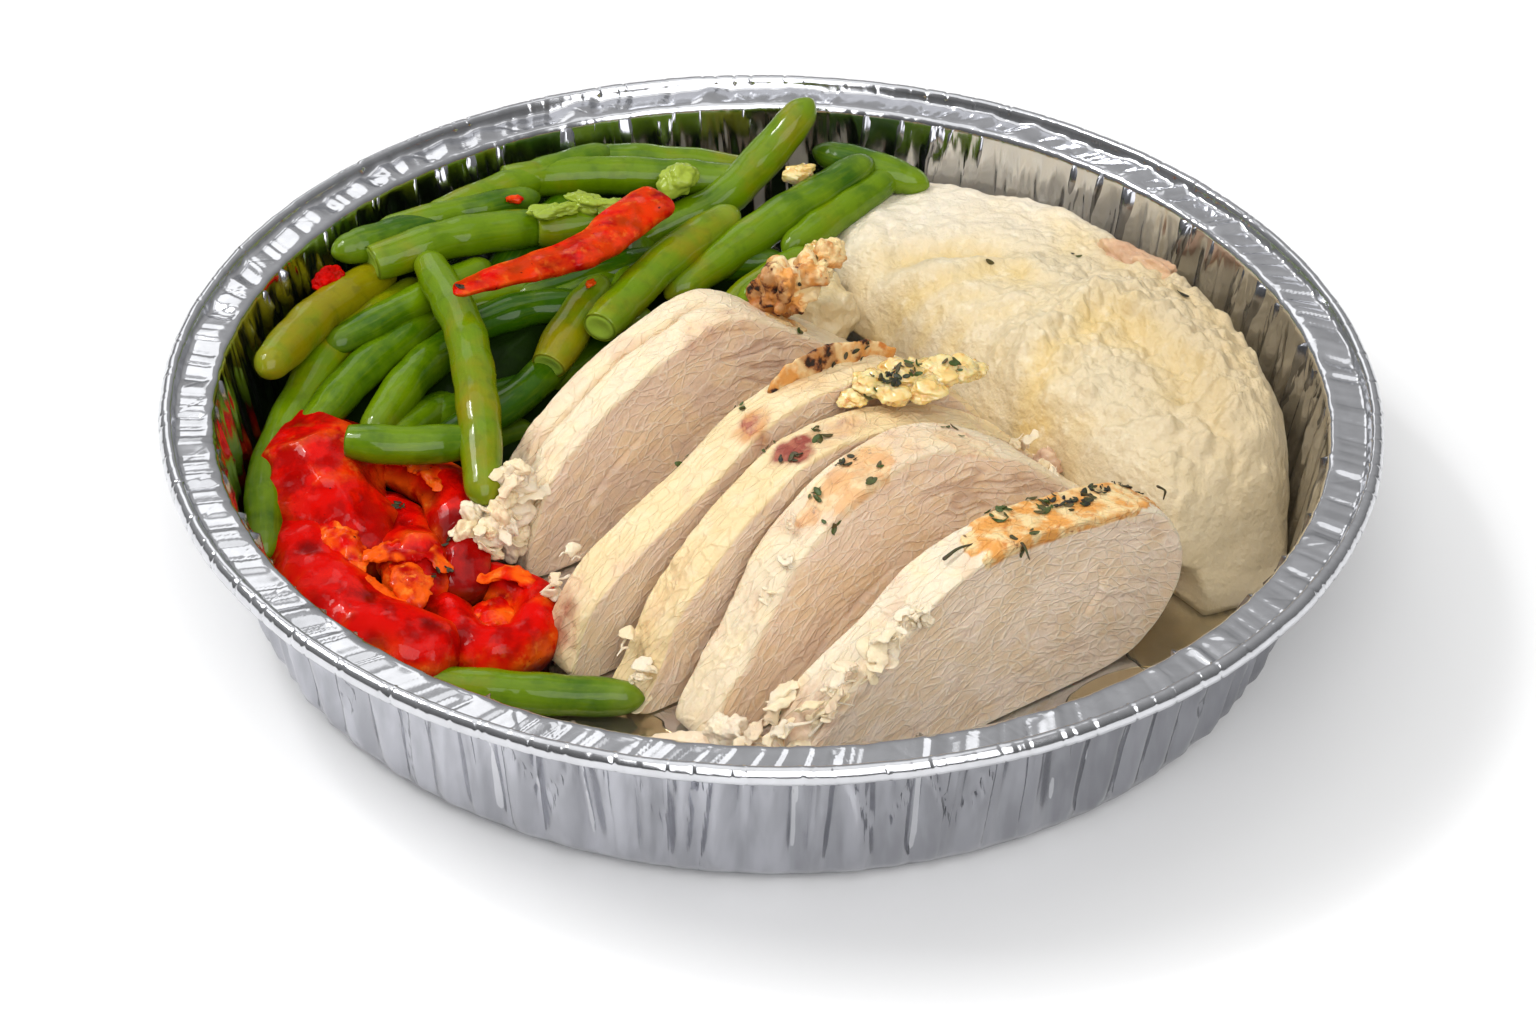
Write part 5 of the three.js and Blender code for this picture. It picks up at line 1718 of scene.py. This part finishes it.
class MEAL_OT_herbs(bpy.types.Operator):
    """Strew the chopped herbs and the ground pepper"""

    bl_idname = "meal.herbs"
    bl_label = "Herbs and pepper"

    def execute(self, context):
        draw = np.random.default_rng(71)
        half = context.scene.meal_food.fleck_size / MM / 2
        leaf, finish = leaf_skin(), herb_finish()
        skins = []
        for name, patches in HERBS.items():
            points, normals = built(name)
            for place, reach, count, tone in patches:
                gap = np.linalg.norm(points - np.array(place), axis=1)
                near = np.flatnonzero((gap < max(reach, gap.min() + 1)) & (normals[:, 2] > -0.3))
                spots = draw.choice(near, count)
                sizes = half * draw.uniform(0.35, 1.1, count) * (0.7 if tone < 0.1 else 1.0)
                places = points[spots] + normals[spots] * 0.25
                tones = tone + draw.uniform(-0.35, 0.35, count)
                skins.append(repeated(leaf, places, lain(normals[spots], draw), sizes, tone=tones))
        sticks = [
            [[31, -55.5, 39.6], [33.5, -53.5, 40.4], [37, -51.5, 40.2]],
            [[43, -50, 40.6], [45, -51.5, 40], [46, -53.5, 38.6]],
            [[72, -18, 29], [73.5, -16.5, 27], [73.5, -15.5, 24.5]],
        ]
        skins = skins + [strand_skin(path, 0.9, tone=0.35) for path in sticks]
        make_piece("herbs_and_pepper", skins, finish, "onion", "onion_herb_lump")
        return {"FINISHED"}


# ---- juice --------------------------------------------------------------------------------

# Pools of meat juice on the floor of the tray: place, half sizes and turn.
POOLS = [
    ([79, -22], [17, 8], 1.1),
    ([66, -45], [12, 7], 0.6),
    ([-31, -58], [14, 8], -0.2),
    ([-10, -72], [16, 8], 0.0),
    ([20, -30], [30, 6], 0.66),
]


def juice_finish():
    """Clear, faintly yellow meat juice."""
    f = Finish("meat_juice")
    return f.finished(
        {
            "Base Color": linear(250, 240, 214),
            "Transmission Weight": 0.95,
            "IOR": 1.33,
            "Roughness": 0.06,
            "Normal": f.bump(f.noise(4.0), 0.3, 0.4),
        }
    )


def pool_skin(at, size, turn, seed):
    """A shallow pool with a wavy outline and a rounded rim."""
    swing = np.linspace(0, TAU, 120, endpoint=False)[None, :]
    level = np.array([0.05, 0.5, 0.7, 0.85, 0.95, 1.0, 1.0, 0.95, 0.5, 0.05])[:, None]
    height = np.array([0.3, 0.28, 0.22, 0.14, 0.08, 0.05, 0.04, 0.03, 0.03, 0.03])[:, None]
    wavy = 1 + 0.3 * noise(grid(np.cos(swing), np.sin(swing), 0.0), 0.7, seed, 2)
    c, s = math.cos(turn), math.sin(turn)
    x, y = size[0] * level * wavy * np.cos(swing), size[1] * level * wavy * np.sin(swing)
    return wrapped(grid(at[0] + c * x - s * y, at[1] + s * x + c * y, FOIL + height))


class MEAL_OT_juice(bpy.types.Operator):
    """Pour the meat juice on the floor of the tray"""

    bl_idname = "meal.juice"
    bl_label = "Juice"

    def execute(self, context):
        skins = [pool_skin(*pool, 500 + k) for k, pool in enumerate(POOLS)]
        make_piece("meat_juice_pools", skins, juice_finish(), "chicken", "chicken_scrap")
        return {"FINISHED"}


# ---- stage -------------------------------------------------------------------------------

AIM = np.array([-0.34, 0.0, 8.08])  # what the camera looks at
SENSOR = 36  # millimetres wide
FLOOR_GREY = 0.93

# Square soft lights that face the tray: place and side in metres, and power as a share of a setting.
LIGHTS = [
    ("key", (-0.8, 0.1, 1.0), 0.5, "key_power", 1.0),
    ("fill", (0.3, -1.3, 1.1), 1.6, "fill_power", 1.0),
    ("top", (-0.15, 0.0, 1.35), 1.3, "key_power", 0.65),
    ("back", (-0.62, 1.35, 1.05), 0.85, "key_power", 0.4),
    ("glint", (-0.7, 0.3, 1.1), 0.12, "key_power", 0.32),
]


def stand(holder, place, side, rise, back):
    """Puts a light or camera at a place in metres, with its own axes along three directions."""
    turn = Matrix(np.stack([side, rise, back], axis=1).tolist()).to_4x4()
    holder.matrix_world = Matrix.Translation(place) @ turn


def area_light(name, place, size, power):
    """A square soft light that faces the middle of the floor."""
    lamp = bpy.data.lights.new(name, "AREA")
    lamp.shape, lamp.size, lamp.energy = "SQUARE", size, power
    back = unit(np.array(place, float))
    side = unit(np.cross(UP, back))
    stand(in_scene(name, lamp), place, side, np.cross(back, side), back)


def room(brightness):
    """A plain room: brightest overhead and towards the back, and darker at the horizon and in front."""
    world = bpy.data.worlds.new("room")
    world.use_nodes = True
    tree = world.node_tree
    split = tree.nodes.new("ShaderNodeSeparateXYZ")
    tree.links.new(tree.nodes.new("ShaderNodeTexCoord").outputs["Generated"], split.inputs[0])
    both = tree.nodes.new("ShaderNodeMath")
    both.operation = "MULTIPLY"
    for axis, start, low, high in (("Z", 0, 0.35 * brightness, brightness), ("Y", -1, 0.7, 2.3)):
        climb = tree.nodes.new("ShaderNodeMapRange")
        for socket, value in (("From Min", start), ("To Min", low), ("To Max", high)):
            climb.inputs[socket].default_value = value
        tree.links.new(split.outputs[axis], climb.inputs["Value"])
        tree.links.new(climb.outputs["Result"], both.inputs["ZY".index(axis)])
    tree.links.new(both.outputs[0], tree.nodes["Background"].inputs["Strength"])
    tree.nodes["Background"].inputs["Color"].default_value = (1, 1, 1, 1)
    return world


class MEAL_OT_stage(bpy.types.Operator):
    """Make the pale floor, the soft lights and the camera"""

    bl_idname = "meal.stage"
    bl_label = "Floor, lights and camera"

    def execute(self, context):
        scene = context.scene
        stage = scene.meal_stage
        half = stage.floor_size / 2
        mesh = bpy.data.meshes.new("floor")
        corners = [(-half, -half, 0), (half, -half, 0), (half, half, 0), (-half, half, 0)]
        mesh.from_pydata(corners, [], [(0, 1, 2, 3)])
        look = {"Base Color": (FLOOR_GREY,) * 3, "Roughness": 0.9, "Specular IOR Level": 0.1}
        mesh.materials.append(Finish("pale_floor").finished(look))
        floor = in_scene("floor", mesh)

        for name, place, size, setting, share in LIGHTS:
            area_light(name, place, size, getattr(stage, setting) * share)
        scene.world = room(stage.surround)
        scene.view_settings.view_transform = "Standard"

        e, roll = stage.elevation, stage.roll
        forward = np.array([0, math.cos(e), -math.sin(e)])
        level = np.array([1.0, 0, 0])
        upright = np.cross(level, forward)
        right = math.cos(roll) * level + math.sin(roll) * upright
        rise = math.cos(roll) * upright - math.sin(roll) * level
        lens = bpy.data.cameras.new("camera")
        lens.lens, lens.sensor_width, lens.clip_start = stage.lens, SENSOR, 0.01
        scene.camera = in_scene("camera", lens)
        stand(scene.camera, AIM * MM - forward * stage.distance, right, rise, -forward)
        return {"FINISHED"}


# ---- the add-on ------------------------------------------------------------------------------

OPERATORS = [
    MEAL_OT_tray,
    MEAL_OT_chicken,
    MEAL_OT_mash,
    MEAL_OT_beans,
    MEAL_OT_peppers,
    MEAL_OT_morsels,
    MEAL_OT_shreds,
    MEAL_OT_trimmings,
    MEAL_OT_herbs,
    MEAL_OT_juice,
    MEAL_OT_stage,
]


class MEAL_PT_panel(bpy.types.Panel):
    """The meal's pieces, one button each"""

    bl_idname = "MEAL_PT_panel"
    bl_label = "Foil tray meal"
    bl_space_type = "VIEW_3D"
    bl_region_type = "UI"
    bl_category = "Meal"

    def draw(self, context):
        for operator in OPERATORS:
            self.layout.operator(operator.bl_idname)


SETTINGS = {"meal_tray": MealTraySettings, "meal_food": MealFoodSettings, "meal_stage": MealStageSettings}


def register():
    """Registers the settings, the operators and the panel."""
    for name, group in SETTINGS.items():
        bpy.utils.register_class(group)
        setattr(bpy.types.Scene, name, bpy.props.PointerProperty(type=group))
    for operator in OPERATORS:
        bpy.utils.register_class(operator)
    bpy.utils.register_class(MEAL_PT_panel)


def unregister():
    """Takes everything that register added away."""
    bpy.utils.unregister_class(MEAL_PT_panel)
    for operator in reversed(OPERATORS):
        bpy.utils.unregister_class(operator)
    for name, group in SETTINGS.items():
        delattr(bpy.types.Scene, name)
        bpy.utils.unregister_class(group)


def main():
    """Makes every piece."""
    register()
    for operator in OPERATORS:
        section, action = operator.bl_idname.split(".")
        getattr(getattr(bpy.ops, section), action)()


if __name__ == "__main__":
    main()
